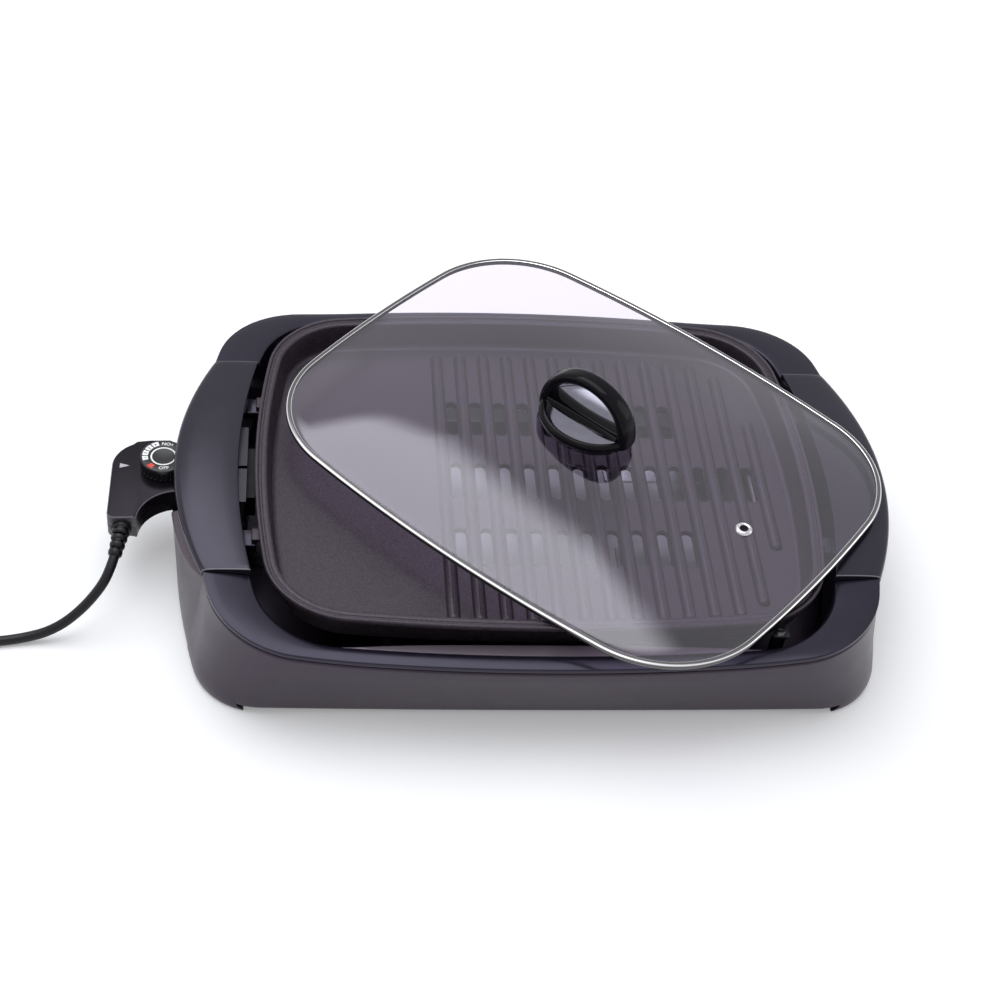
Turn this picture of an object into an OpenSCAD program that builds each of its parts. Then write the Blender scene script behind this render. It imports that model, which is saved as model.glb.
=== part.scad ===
// Electric indoor grill with a loose glass lid.
// A ribbed non-stick plate sits over a fixed heating element in a plastic base.
// A plug-in thermostat probe with a dial feeds the element through the left side.
// Origin: centre of the base on the table. +X to the right, +Y to the back, +Z up. Millimetres.

/* [Base] */
// Overall length over the two side handles
base_length = 514; // [500:1:530]
// Overall depth over the bezel
base_depth = 366; // [356:1:376]
// Height of the bezel at the middle of the front
bezel_height = 73; // [71:0.5:76]
// How much the bezel rises towards the side handles
bezel_rise = 8; // [6:0.5:9]
// Height of the plinth above the table, which the feet make up
foot_height = 5; // [4:0.5:7]
// Wall thickness of the plastic base
base_wall = 2.5; // [2:0.1:3]
// How far the front and back lean in towards the bottom
base_lean = 19; // [12:1:22]
// Radius of the bezel's corners in plan
corner_radius = 70; // [64:1:76]
// Diameter of a rubber foot where it touches the table
foot_diameter = 20; // [14:1:24]

/* [Bezel and handles] */
// Thickness of the bezel moulding
bezel_thickness = 2.5; // [2:0.1:3]
// Width of the bezel with its handle at each side
bezel_side = 45; // [42:0.5:48]
// Width of the bezel at the middle of the front
bezel_front = 12; // [10:0.5:15]
// Depth of the skirt that hangs down into the well
skirt_drop = 26; // [20:1:30]
// Half the length of a side handle, front to back
handle_half = 106.3; // [98:0.1:108]
// Height of the handle's top above the bezel
handle_rise = 11.6; // [10:0.1:14]
// How far below the bezel the open slot edge in the base's side lies, under the handle
grip_drop = 15; // [12:0.5:18]
// How far the top of the base steps in below the handle, for fingers
grip_depth = 14; // [10:0.5:16]

/* [Grill plate] */
// Gap between the plate's rim and the handle at each side
plate_gap_side = 11.7; // [9:0.1:13]
// Gap between the plate's rim and the bezel at the front
plate_gap_front = 11; // [9:0.5:13]
// Height of the plate's rim above the bezel
rim_proud = 15.5; // [14:0.5:17]
// Depth of the dish from the rim to the floor
dish_depth = 22.5; // [20:0.5:23]
// Thickness of the plate's floor
floor_thickness = 4.5; // [3.5:0.5:5]
// Distance between two ribs
rib_pitch = 18; // [17:0.1:18.4]
// Width of a rib
rib_width = 9; // [7:0.5:10]
// Number of long ribs
rib_count = 13; // [8:1:13]
// Distance from the end of a rib to the plate's edge
rib_inset = 21.5; // [20:0.5:30]
// Length of the short rib at the right
short_rib_length = 133; // [100:1:160]
// Width of a grease slot
slot_width = 8; // [5:0.5:8.5]
// Length of a grease slot
slot_length = 36; // [24:1:44]
// Distance between two rows of grease slots
slot_row_pitch = 66; // [56:1:70]
// Number of slots in the outer rows
outer_row_slots = 10; // [6:1:10]

/* [Lid] */
// Length of the lid over its steel rim
lid_length = 404; // [396:1:410]
// Depth of the lid over its steel rim
lid_depth = 313; // [306:1:318]
// Width of the steel rim's lips over the glass
lid_rim_lip = 4; // [3:0.1:6]
// Thickness of the glass
glass_thickness = 3.2; // [2.4:0.1:3.4]
// Rise of the glass from its edge to the middle
lid_dome = 13; // [8:0.5:18]
// Length of the knob along the lid
knob_length = 78; // [66:1:90]
// Height of the knob above the glass
knob_height = 46; // [38:1:52]
// Width of the knob's base across the lid
knob_base_width = 62; // [50:1:70]
// Thickness of the knob's grip bow
knob_grip_width = 17; // [12:1:20]
// Distance of the steam vent from the middle of the lid
vent_distance = 139; // [120:1:150]
// Outer diameter of the vent's grommet
vent_diameter = 12; // [10:0.5:15]
// Angle at which the lid has been laid across the grill
lid_turn = -43; // [-60:1:-30]

/* [Thermostat probe] */
// Thickness of the probe's housing
probe_thickness = 20; // [18:0.5:22]
// Diameter of the temperature dial
dial_diameter = 33; // [30:0.5:34]
// Clearance between the dial and the handle above it
dial_clearance = 1.5; // [1:0.1:3]
// Number of grip flutes round the dial
dial_flutes = 24; // [16:1:30]
// Diameter of the sensor rod
sensor_diameter = 6; // [5:0.2:6.4]
// Diameter of the element's contact pins
pin_diameter = 4.6; // [4:0.2:5]
// Distance between the two contact pins
pin_spacing = 26; // [24:1:30]

/* [Element and tray] */
// Diameter of the tubular heating element
element_diameter = 7; // [6:0.5:8]
// Length of the element's loop
element_length = 320; // [300:1:330]
// Depth of the element's loop
element_depth = 210; // [190:1:220]
// Length of the drip tray over its rim
tray_length = 316; // [290:1:320]
// Depth of the drip tray over its rim
tray_depth = 214; // [200:1:230]
// Height of the drip tray's rim above its floor
tray_wall = 11; // [8:0.5:12]
// Clearance between the drip tray and the brackets above it
tray_clearance = 2; // [1.5:0.5:4]
// Thickness of the sheet metal pieces
sheet = 1; // [0.8:0.1:1.2]

/* [Cord] */
// Diameter of the power cord
cord_diameter = 7; // [6:0.5:7.5]

/* [Hidden] */

black_plastic = [0.10, 0.10, 0.11];
gloss_black = [0.03, 0.03, 0.035];
charcoal = [0.16, 0.15, 0.17];
nonstick = [0.20, 0.19, 0.20];
bright_steel = [0.78, 0.78, 0.80];
sheet_steel = [0.62, 0.63, 0.65];
rubber_black = [0.06, 0.06, 0.06];

gap = 0.3;                 // clearance between pieces of two moving bodies
fit = 0.05;                // radial clearance of a running fit
eps = 0.02;

// ---- outlines -------------------------------------------------------------
// An outline is [half length, half depth, side arc radius, front arc radius, corner radius].
side_steps = 5;
corner_steps = 9;
front_steps = 5;
seam_step = 0.4;           // a seam is this wide, so a height can jump there

function inset(o, d) = [for (v = o) v - d];

function corner_centre(o) =
    let (a = [o[0] - o[2], 0], b = [0, o[1] - o[3]],
         ra = o[2] - o[4], rb = o[3] - o[4], d = norm(b - a),
         t = (ra * ra - rb * rb + d * d) / (2 * d), h = sqrt(ra * ra - t * t), u = (b - a) / d)
    a + t * u - h * [u.y, -u.x];

function arc(c, r, a0, a1, n) =
    [for (i = [0 : n - 1]) c + r * [cos(a0 + (a1 - a0) * i / n), sin(a0 + (a1 - a0) * i / n)]];

// First quadrant from (half length, 0) to (0, half depth); seam puts a point at that y
function quadrant(o, seam = 0) =
    let (c = corner_centre(o), a = [o[0] - o[2], 0], b = [0, o[1] - o[3]],
         side_end = atan2(c.y, c.x - a.x), front_start = atan2(c.y - b.y, c.x),
         before = seam > 0 ? asin((seam - seam_step) / o[2]) : side_end * (side_steps - 1) / side_steps,
         seam_angle = seam > 0 ? asin(seam / o[2]) : mix(before, side_end, 0.5))
    concat(arc(a, o[2], 0, before, side_steps - 1),
           arc(a, o[2], before, seam_angle, 1),
           arc(a, o[2], seam_angle, side_end, 1),
           arc(c, o[4], side_end, front_start, corner_steps),
           arc(b, o[3], front_start, 90, front_steps),
           [[0, o[1]]]);

function outline(o, seam = 0) =
    let (q = quadrant(o, seam), n = len(q) - 1)
    concat([for (i = [0 : n - 1]) q[i]],
           [for (i = [n : -1 : 1]) [-q[i].x, q[i].y]],
           [for (i = [0 : n - 1]) -q[i]],
           [for (i = [n : -1 : 1]) [q[i].x, -q[i].y]]);

// ---- skins ----------------------------------------------------------------
function flat_ring(points, z) = [for (p = points) [p.x, p.y, z]];
function shaped_ring(points, height) = [for (p = points) [p.x, p.y, height(p)]];
function mix(a, b, t) = a * (1 - t) + b * t;
function squared(share, power) = sign(share) * pow(abs(share), power);

// Closed solid through rings of points; "tube" joins the last ring to the first
module skin(rings, tube = false) {
    n = len(rings[0]);
    m = len(rings);
    last = tube ? m - 1 : m - 2;
    sides = [for (i = [0 : last], j = [0 : n - 1])
        let (a = i * n + j, b = i * n + (j + 1) % n,
             c = ((i + 1) % m) * n + j, d = ((i + 1) % m) * n + (j + 1) % n)
        each [[a, c, d], [a, d, b]]];
    caps = tube ? [] : [[for (j = [0 : n - 1]) j], [for (j = [n - 1 : -1 : 0]) (m - 1) * n + j]];
    polyhedron(points = [for (r = rings) each r], faces = concat(sides, caps), convexity = 8);
}

// ---- derived sizes --------------------------------------------------------
half_length = base_length / 2;
half_depth = base_depth / 2;
well_length = base_length - 2 * bezel_side;
well_depth = base_depth - 2 * bezel_front;
plate_length = well_length - 2 * plate_gap_side;
plate_depth = well_depth - 2 * plate_gap_front;
rim_height = bezel_height + rim_proud;
handle_height = bezel_height + handle_rise;
grip_low = bezel_height - grip_drop;
floor_top = rim_height - dish_depth;
floor_low = floor_top - floor_thickness;
well_wall = 1;                                             // wall of the tube that takes the sensor rod
well_radius = sensor_diameter / 2 + gap + well_wall;
element_z = floor_low - max(element_diameter / 2 + 1, well_radius + 0.2);
probe_z = element_z;                                       // the probe plugs in level with the element
bracket_z = element_z - 11;
tray_height = bracket_z - tray_clearance - tray_wall - sheet;

// ---- base -----------------------------------------------------------------
front_arc = 1500;
shelf_half = half_length - grip_depth;                     // top of the base below a handle
seam_half = half_length - 24.5;                            // outline at the handle's ends
function side_arc(half, end) =
    (handle_half * handle_half + (half - end) * (half - end)) / (2 * (half - end));

top_outline = [shelf_half, half_depth, side_arc(shelf_half, seam_half), front_arc, corner_radius];
bottom_outline = [half_length, half_depth - base_lean, 480, 3000, corner_radius - 22];
well_bow = 11.6;                                           // the well's sides bow out by this much
well_outline = [well_length / 2, well_depth / 2, side_arc(well_length / 2, well_length / 2 - well_bow),
                front_arc, corner_radius - 10];

rise_start = 120;
function seam_share(p) = min(1, abs(p.y) / handle_half);
function bezel_z(p) =
    bezel_height + bezel_rise * pow(max(0, abs(p.x) - rise_start) / (seam_half - rise_start), 2);
shelf_z = bezel_height + 2;                                // the handles stand on this level
shelf_under = shelf_z - bezel_thickness - 2;
function beside_handle(p) = abs(p.y) < handle_half - 0.1;
function bezel_under(p) = beside_handle(p) ? shelf_under : bezel_z(p) - bezel_thickness;
function grip_z(p) =
    beside_handle(p) ? grip_low + (bezel_z([seam_half, 0]) - 5 - grip_low) * pow(seam_share(p), 4)
                     : bezel_z(p) - 5;
function grip_foot_z(p) = beside_handle(p) ? grip_z(p) + 5 * (1 - pow(seam_share(p), 2)) + 0.2
                                           : bezel_z(p) - bezel_thickness - 0.6;

// The side of the base bulges out below the handle by this much
grip_bulge = grip_depth + 3;
function bulged(points, amount) =
    [for (p = points) [p.x + sign(p.x) * amount * (1 - pow(seam_share(p), 2)), p.y]];

function base_points(t, d, bulge) =
    bulged(outline(inset(mix(bottom_outline, top_outline, t), d), handle_half), bulge);

// t runs from the bottom outline to the top one, d is the distance inside the outer face
function lower_ring(t, z, d = 0) =
    let (start = bottom_outline[0], own = start + (top_outline[0] - start) * t)
    flat_ring(base_points(t, d, max(0, half_length + 3 * t - own)), z);

function grip_ring(d, dz) =
    let (points = bulged(outline(inset(top_outline, d), handle_half), grip_bulge))
    [for (p = points) [p.x, p.y, grip_z(p) + dz]];
function top_ring(d, height) = shaped_ring(outline(inset(top_outline, d), handle_half), height);

boss_places = [for (sx = [-1, 1], sy = [-1, 1]) [sx * (seam_half - 32), sy * (half_depth - 43)]];
leg_x = 45 + 12 - well_length / 2;
bracket_x = [-106, leg_x + element_length];
bracket_half = tray_depth / 2 + 18;
tray_post_places = [for (sx = [-1, 1], sy = [-1, 1]) [sx * 110, sy * 66]];
base_floor = foot_height + base_wall;

// Opening in the left wall for the probe
port_low = probe_z - probe_thickness / 2 - 3;
port_half = pin_spacing / 2 + 19;
probe_y = 4;

module base_tub() {
    color(charcoal) difference() {
        skin([
            lower_ring(0, foot_height, 2.4),
            lower_ring(0, foot_height + 1.2, 0.8),
            lower_ring(0.02, foot_height + 4),
            lower_ring(0.25, 22),
            lower_ring(0.6, 42),
            grip_ring(0, -2.4),
            grip_ring(0, -0.5),
            grip_ring(1, 0.1),
            top_ring(0, function (p) grip_foot_z(p)),
            top_ring(0, function (p) bezel_under(p)),
            top_ring(base_wall, function (p) bezel_under(p)),
            top_ring(base_wall, function (p) grip_foot_z(p) - 2),
            grip_ring(base_wall, -3),
            lower_ring(0.6, 42, base_wall),
            lower_ring(0.25, 22, base_wall),
            lower_ring(0, base_floor + 4, base_wall),
            lower_ring(0, base_floor + 2, panel_inset + 2.5),
            lower_ring(0, base_floor, panel_inset + 2.5),
            lower_ring(0, base_floor, panel_inset - panel_fit),
            lower_ring(0, foot_height, panel_inset - panel_fit)
        ], tube = true);
        // the probe's port below the left handle
        translate([-half_length - 10, probe_y - port_half, port_low])
            cube([40, 2 * port_half, shelf_under - port_low + 10]);
    }
}

// The floor panel closes the tub from below and butts on a ledge round its inside
panel_inset = base_wall + 2;
panel_fit = 0.2;
module bottom_panel() {
    color(charcoal) difference() {
        union() {
            skin([lower_ring(0, foot_height, panel_inset), lower_ring(0, base_floor, panel_inset)]);
            for (p = boss_places) translate([p.x, p.y, base_floor - 1]) cylinder(h = 5, r = 7, $fn = 32);
            for (p = tray_post_places) translate([p.x, p.y, base_floor - 1])
                cylinder(h = tray_height - base_floor + 1, r = 6, $fn = 32);
            for (x = bracket_x, s = [-1, 1]) translate([x, s * bracket_half, base_floor - 1])
                cylinder(h = bracket_z - base_floor + 1, r = 5, $fn = 32);
        }
        for (p = boss_places) translate([p.x, p.y, 0]) {
            cylinder(h = 20, r = screw_hole, $fn = 24);
            cylinder(h = foot_height + 2, r = screw_head + 0.3, $fn = 32);
        }
        for (x = bracket_x, s = [-1, 1]) translate([x, s * bracket_half, bracket_z - 12])
            cylinder(h = 20, r = pilot_hole, $fn = 24);
        for (p = foot_places) translate([p.x, p.y, 0])
            cylinder(h = foot_height + 1, r = foot_stem + 0.1, $fn = 24);
        // louvres in the floor let air rise under the drip tray
        for (i = [-3.5 : 3.5]) translate([i * louvre_pitch - louvre_width / 2, -louvre_length / 2, 0])
            cube([louvre_width, louvre_length, foot_height + 2 * base_wall]);
    }
}
louvre_pitch = 20;
louvre_width = 4;
louvre_length = 80;

screw_radius = 1.5;
screw_hole = screw_radius + 0.4;
pilot_hole = screw_radius + fit;
screw_head = 3.4;
base_screw_length = 15;
probe_screw_length = 11;
short_screw_length = 9;
module screw(length, head = 2) {
    cylinder(h = length, r = screw_radius, $fn = 24);
    difference() {
        translate([0, 0, -head]) cylinder(h = head, r = screw_head, $fn = 32);
        translate([-2.2, -0.45, -head - 1]) cube([4.4, 0.9, 2]);
        translate([-0.45, -2.2, -head - 1]) cube([0.9, 4.4, 2]);
    }
}

foot_stem = 3;
foot_places = [for (sx = [-1, 1], sy = [-1, 1])
    [sx * (half_length - 62), sy * (half_depth - base_lean - 20)]];
module rubber_feet() {
    color(rubber_black) for (p = foot_places) translate([p.x, p.y, 0]) rotate_extrude($fn = 40)
        polygon([[0, 0], [foot_diameter / 2 - 1, 0], [foot_diameter / 2, 1], [foot_diameter / 2 + 1, foot_height],
                 [foot_stem, foot_height], [foot_stem, foot_height + 1], [0, foot_height + 1]]);
}

module base_screws() {
    color(bright_steel) for (p = boss_places) translate([p.x, p.y, foot_height + 2]) screw(base_screw_length);
}

// ---- bezel and handles ----------------------------------------------------
lug_y = 67;
lug_width = 15;
lug_top = bezel_height + 0.5;
skirt_draft = 2;
guard_y = 4;
guard_half = 38;
boss_radius = 5;

function bezel_ring(d_top, d_well, t, dz) =
    let (a = outline(inset(top_outline, d_top), handle_half),
         b = outline(inset(well_outline, d_well), handle_half))
    [for (i = [0 : len(a) - 1]) let (p = mix(a[i], b[i], t)) [p.x, p.y, bezel_z(p) + dz]];

module bezel_frame() {
    low = bezel_height - skirt_drop;
    color(black_plastic) difference() {
        union() {
            skin([
                shaped_ring(outline(top_outline, handle_half), function (p) bezel_under(p)),
                bezel_ring(0, 0, 0, -0.9),
                bezel_ring(1, 0, 0, 0),
                bezel_ring(0, 0, 0.5, 0.9),
                bezel_ring(0, -1.6, 1, 0.6),
                bezel_ring(0, -0.2, 1, -1),
                flat_ring(outline(inset(well_outline, skirt_draft), handle_half), low),
                flat_ring(outline(inset(well_outline, skirt_draft - bezel_thickness), handle_half), low),
                shaped_ring(outline(inset(well_outline, -bezel_thickness - 0.6), handle_half),
                            function (p) bezel_under(p))
            ], tube = true);
            for (p = boss_places) translate([p.x, p.y, base_floor + 4])
                cylinder(h = bezel_z(p) - base_floor - 5.2, r = boss_radius, $fn = 32);
            // lugs that carry the plate's ears
            for (sx = [-1, 1], sy = [-1, 1])
                translate([sx * (well_length / 2 - 9) - 5, sy * lug_y - lug_width / 2, lug_top - 7])
                    cube([10, lug_width, 7]);
        }
        // the handles stand on a shelf at each side
        for (sx = [-1, 1]) translate([sx * half_length, 0, shelf_z + 10])
            cube([160, 2 * handle_half, 20], center = true);
        // gap in the skirt for the terminals
        translate([-well_length / 2 - 6, guard_y - guard_half - 4, low - 5])
            cube([14, 2 * guard_half + 8, skirt_drop + 20]);
        for (p = boss_places) translate([p.x, p.y, 0]) cylinder(h = 24, r = pilot_hole, $fn = 24);
        for (s = handle_screw_places) translate([s.x, s.y, shelf_under - 1])
            cylinder(h = 10, r = screw_hole, $fn = 24);
    }
}

handle_end_gap = 0.3;
handle_lip = 5.8;                                          // depth of the lip along the handle's outer edge
handle_steps = 16;
handle_screw_places = [for (sx = [-1, 1], sy = [-1, 1]) [sx * (shelf_half - 14), sy * 62]];
function handle_top_z(y) = handle_height - 1.4 * pow(y / handle_half, 2);
function handle_inner_x(y) = well_length / 2 - well_bow * pow(y / handle_half, 2);
function handle_outer_x(y) = half_length - 23.7 * pow(y / handle_half, 2);

module handle_bar() {
    skin([for (i = [0 : handle_steps])
        let (y = (handle_half - handle_end_gap) * (2 * i / handle_steps - 1), zt = handle_top_z(y),
             a = handle_inner_x(y), b = handle_outer_x(y))
        [for (q = [[a, shelf_z], [a, zt - 1.3], [a + 0.4, zt - 0.4], [a + 1.5, zt], [mix(a, b, 0.5), zt + 0.7],
                   [b - 5, zt - 0.5], [b - 1.6, zt - 1.8], [b - 0.3, zt - 3.2], [b, zt - 4.6],
                   [b - 0.6, zt - handle_lip], [b - 3, zt - 5.2], [b - 5, zt - 3.6], [a + 5, zt - 3.2],
                   [a + 3, shelf_z]])
            [q[0], y, q[1]]]]);
}

module handle() {
    difference() {
        union() {
            handle_bar();
            for (s = [-1, 1]) translate([shelf_half - 14, s * 62, shelf_z])
                cylinder(h = handle_height - shelf_z - 2, r = 4.5, $fn = 32);
        }
        for (s = [-1, 1]) translate([shelf_half - 14, s * 62, shelf_z - 1])
            cylinder(h = 6.5, r = pilot_hole, $fn = 24);
    }
}

module right_handle() { color(gloss_black) handle(); }
module left_handle() { color(gloss_black) mirror([1, 0, 0]) handle(); }

module handle_screws() {
    color(bright_steel) for (s = handle_screw_places) translate([s.x, s.y, shelf_under]) screw(short_screw_length);
}

// ---- tray and element -----------------------------------------------------
tray_outline = [tray_length / 2, tray_depth / 2, 3000, 3000, 26];
tray_slope = 7;
module drip_tray() {
    low = tray_height;
    high = tray_height + sheet + tray_wall;
    color(sheet_steel) {
        skin([
            flat_ring(outline(inset(tray_outline, tray_slope)), low),
            flat_ring(outline(inset(tray_outline, 3 + sheet)), high - sheet),
            flat_ring(outline(tray_outline), high - sheet),
            flat_ring(outline(tray_outline), high),
            flat_ring(outline(inset(tray_outline, 3 + 2 * sheet)), high),
            flat_ring(outline(inset(tray_outline, tray_slope + sheet)), low + sheet)
        ]);
        // four raised panels leave a cross-shaped channel for the fat
        for (sx = [-1, 1], sy = [-1, 1])
            translate([sx * tray_panel_x, sy * tray_panel_y, low + sheet - eps])
                rounded_plate(76, 56, 8, 1 + eps);
    }
}
tray_panel_x = 98;
tray_panel_y = 62;

module rounded_plate(x, y, r, h) {
    linear_extrude(h) union() {
        square([x - 2 * r, y], center = true);
        square([x, y - 2 * r], center = true);
        for (sx = [-1, 1], sy = [-1, 1]) translate([sx * (x / 2 - r), sy * (y / 2 - r)])
            circle(r = r, $fn = 32);
    }
}

bend = 20;
terminal_x = 12 - well_length / 2;

module rod_arc(c, a0, sweep) {
    translate([c.x, c.y, element_z]) rotate([0, 0, a0])
        rotate_extrude(angle = sweep, $fn = 72) translate([bend, 0]) circle(d = element_diameter, $fn = 20);
}
module rod_line(a, b) {
    d = b - a;
    translate([a.x, a.y, element_z]) rotate([0, 90, atan2(d.y, d.x)])
        cylinder(h = norm(d), d = element_diameter, $fn = 20);
}
// Half of the element's loop, from its terminal to the far end
module element_half(leg_y) {
    y = element_depth / 2;
    x = leg_x + element_length;
    rod_line([terminal_x, leg_y], [leg_x - bend, leg_y]);
    rod_arc([leg_x - bend, leg_y + bend], -90, 90);
    rod_line([leg_x, leg_y + bend], [leg_x, y - bend]);
    rod_arc([leg_x + bend, y - bend], 90, 90);
    rod_line([leg_x + bend, y], [x - bend, y]);
    rod_arc([x - bend, y - bend], 0, 90);
    rod_line([x, y - bend], [x, 0]);
}
module heating_element() {
    color([0.30, 0.29, 0.28]) {
        element_half(probe_y + pin_spacing / 2);
        mirror([0, 1, 0]) element_half(pin_spacing / 2 - probe_y);
    }
}

bracket_width = 12;
module element_brackets() {
    color(sheet_steel) for (i = [0, 1]) difference() {
        union() {
            translate([bracket_x[i], 0, bracket_z + sheet / 2])
                cube([bracket_width, 2 * bracket_half + 12, sheet], center = true);
            for (s = [-1, 1]) translate([bracket_x[i], s * saddle_y[i], (bracket_z + element_z) / 2])
                cube([bracket_width, 3, element_z - bracket_z], center = true);
        }
        if (i == 0) for (s = [-1, 1]) translate([bracket_x[i] - bracket_width, s * saddle_y[i], element_z])
            rotate([0, 90, 0]) cylinder(h = 2 * bracket_width, d = element_diameter + 0.04, $fn = 20);
        if (i == 1) translate([bracket_x[i], 0, element_z]) rotate([90, 0, 0])
            cylinder(h = 4 * saddle_y[i], d = element_diameter + 0.04, $fn = 20, center = true);
        for (s = [-1, 1]) translate([bracket_x[i], s * bracket_half, bracket_z - 1])
            cylinder(h = 4, r = screw_hole, $fn = 24);
    }
}
saddle_y = [element_depth / 2, element_depth / 2 - 40];
module bracket_screws() {
    color(bright_steel) for (x = bracket_x, s = [-1, 1])
        translate([x, s * bracket_half, bracket_z + sheet]) rotate([180, 0, 0]) screw(short_screw_length);
}

pins_y = [for (s = [-1, 1]) probe_y + s * pin_spacing / 2];
block_x = terminal_x - 6;
pin_tip_x = block_x - 22;
module terminal_block() {
    color([0.85, 0.83, 0.78]) difference() {
        translate([block_x, guard_y - 25, probe_z - 9]) cube([terminal_x - block_x, 50, 18]);
        for (y = pins_y) translate([block_x - 1, y, probe_z]) rotate([0, 90, 0])
            cylinder(h = 10, d = pin_diameter + 0.04, $fn = 24);
        translate([block_x - 1, probe_y, probe_z]) rotate([0, 90, 0])
            cylinder(h = 10, r = well_radius + 0.02, $fn = 32);
    }
}
module terminal_pins() {
    color(bright_steel) for (y = pins_y) {
        translate([pin_tip_x + 1, y, probe_z]) rotate([0, 90, 0])
            cylinder(h = terminal_x - pin_tip_x - 1, d = pin_diameter, $fn = 24);
        translate([pin_tip_x, y, probe_z]) rotate([0, 90, 0])
            cylinder(h = 1, r1 = pin_diameter / 2 - 1, r2 = pin_diameter / 2, $fn = 24);
    }
}
sensor_tip_x = terminal_x + 50;
module thermowell() {
    color(sheet_steel) difference() {
        translate([block_x, probe_y, probe_z]) rotate([0, 90, 0])
            cylinder(h = sensor_tip_x - block_x + 3, r = well_radius, $fn = 32);
        translate([block_x - 1, probe_y, probe_z]) rotate([0, 90, 0])
            cylinder(h = sensor_tip_x - block_x + 2, r = well_radius - well_wall, $fn = 32);
    }
}
guard_top = bezel_height + 2;
guard_low = base_floor;
module terminal_guard() {
    color(sheet_steel) difference() {
        union() {
            translate([block_x - sheet, guard_y - guard_half, guard_low])
                cube([sheet, 2 * guard_half, guard_top - guard_low]);
            translate([block_x - 6, guard_y - guard_half, guard_top - sheet]) cube([6, 2 * guard_half, sheet]);
            translate([block_x - sheet, guard_y - guard_half, guard_low]) cube([16, 2 * guard_half, sheet]);
        }
        translate([block_x - 10, guard_y - 5, guard_top - 2.5]) cube([12, 3, 4]);
        for (y = pins_y) translate([block_x - 5, y, probe_z]) rotate([0, 90, 0])
            cylinder(h = 10, d = pin_diameter + 3, $fn = 24);
        translate([block_x - 5, probe_y, probe_z]) rotate([0, 90, 0])
            cylinder(h = 10, r = well_radius - well_wall, $fn = 32);
    }
}

// ---- grill plate ----------------------------------------------------------
plate_outline = [plate_length / 2, plate_depth / 2, 665, 1400, corner_radius - 8];
rib_height = rib_width * 0.46;
short_rib_x = plate_length / 2 - 31.1;
function rib_x(i) = short_rib_x - (rib_count - i) * rib_pitch;
// the last long rib ends earlier, where the corners of the floor are round
function rib_half(i) =
    plate_depth / 2 - rib_inset - 0.0004 * rib_x(i) * rib_x(i) - (i == rib_count - 1 ? 9.8 : 0);

module rib(x, half) {
    r = rib_width / 2;
    nose = [for (a = [0 : 18 : 90]) [r * sin(a), half - r + r * cos(a)]];
    translate([x, 0, floor_top + rib_height - r]) rotate([90, 0, 0]) rotate_extrude($fn = 24)
        polygon(concat(nose, [for (i = [len(nose) - 1 : -1 : 0]) [nose[i].x, -nose[i].y]]));
}
module slot(x, y) {
    translate([x, y, floor_low - 1]) {
        translate([-slot_width / 2, -(slot_length - slot_width) / 2, 0])
            cube([slot_width, slot_length - slot_width, floor_thickness + 2]);
        for (s = [-1, 1]) translate([0, s * (slot_length - slot_width) / 2, 0])
            cylinder(h = floor_thickness + 2, d = slot_width, $fn = 24);
    }
}
ear_length = 14;
ear_height = 3.5;
module grill_plate() {
    function plate_ring(d, z) = flat_ring(outline(inset(plate_outline, d)), z);
    color(nonstick) difference() {
        union() {
            skin([
                plate_ring(14.5, floor_low), plate_ring(9.5, floor_low + 0.5), plate_ring(7.6, floor_low + 4),
                plate_ring(5.4, rim_height - 5),
                plate_ring(0, rim_height - 4), plate_ring(0, rim_height - 0.6), plate_ring(0.6, rim_height),
                plate_ring(2, rim_height), plate_ring(2.6, rim_height - 1.4), plate_ring(4, rim_height - 1.4),
                plate_ring(4.6, rim_height - 0.7), plate_ring(7.4, rim_height - 0.7),
                plate_ring(8.6, rim_height - 2.2), plate_ring(11.2, floor_top + 3), plate_ring(14.5, floor_top)
            ]);
            intersection() {
                union() {
                    for (i = [0 : rib_count - 1]) rib(rib_x(i), rib_half(i));
                    rib(short_rib_x, short_rib_length / 2);
                }
                translate([-plate_length / 2, -plate_depth / 2, floor_low + 0.5])
                    cube([plate_length, plate_depth, dish_depth]);
            }
            // ears that stand on the bezel's lugs
            for (sx = [-1, 1], sy = [-1, 1])
                translate([sx * (plate_length / 2 - 6), sy * lug_y, lug_top + gap + ear_height / 2])
                    cube([ear_length, lug_width - 4, ear_height], center = true);
        }
        for (j = [0 : rib_count - 1], row = [-1 : 1])
            if (row == 0 || j < outer_row_slots) slot(rib_x(j + 0.5), row * slot_row_pitch);
    }
}

// ---- lid ------------------------------------------------------------------
lid_x = 35;
lid_y = 16;
lid_z = rim_height + gap;
lid_outline = [lid_length / 2, lid_depth / 2, 990, 1200, 82];
band = 0.6;                                                // thickness of the rim's steel
lid_rim_height = glass_thickness + 2 * band + 0.1;
glass_low = lid_z + lid_rim_height - band - glass_thickness;
glass_flat = 0.2;                                          // share of the glass that is level below the knob
glass_edge = 1 - (lid_rim_lip + 1) / (lid_depth / 2);      // from this share outwards it lies level in the rim
glass_top_z = glass_low + glass_thickness + lid_dome;

module place_lid() { translate([lid_x, lid_y, 0]) rotate([0, 0, lid_turn]) children(); }

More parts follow.
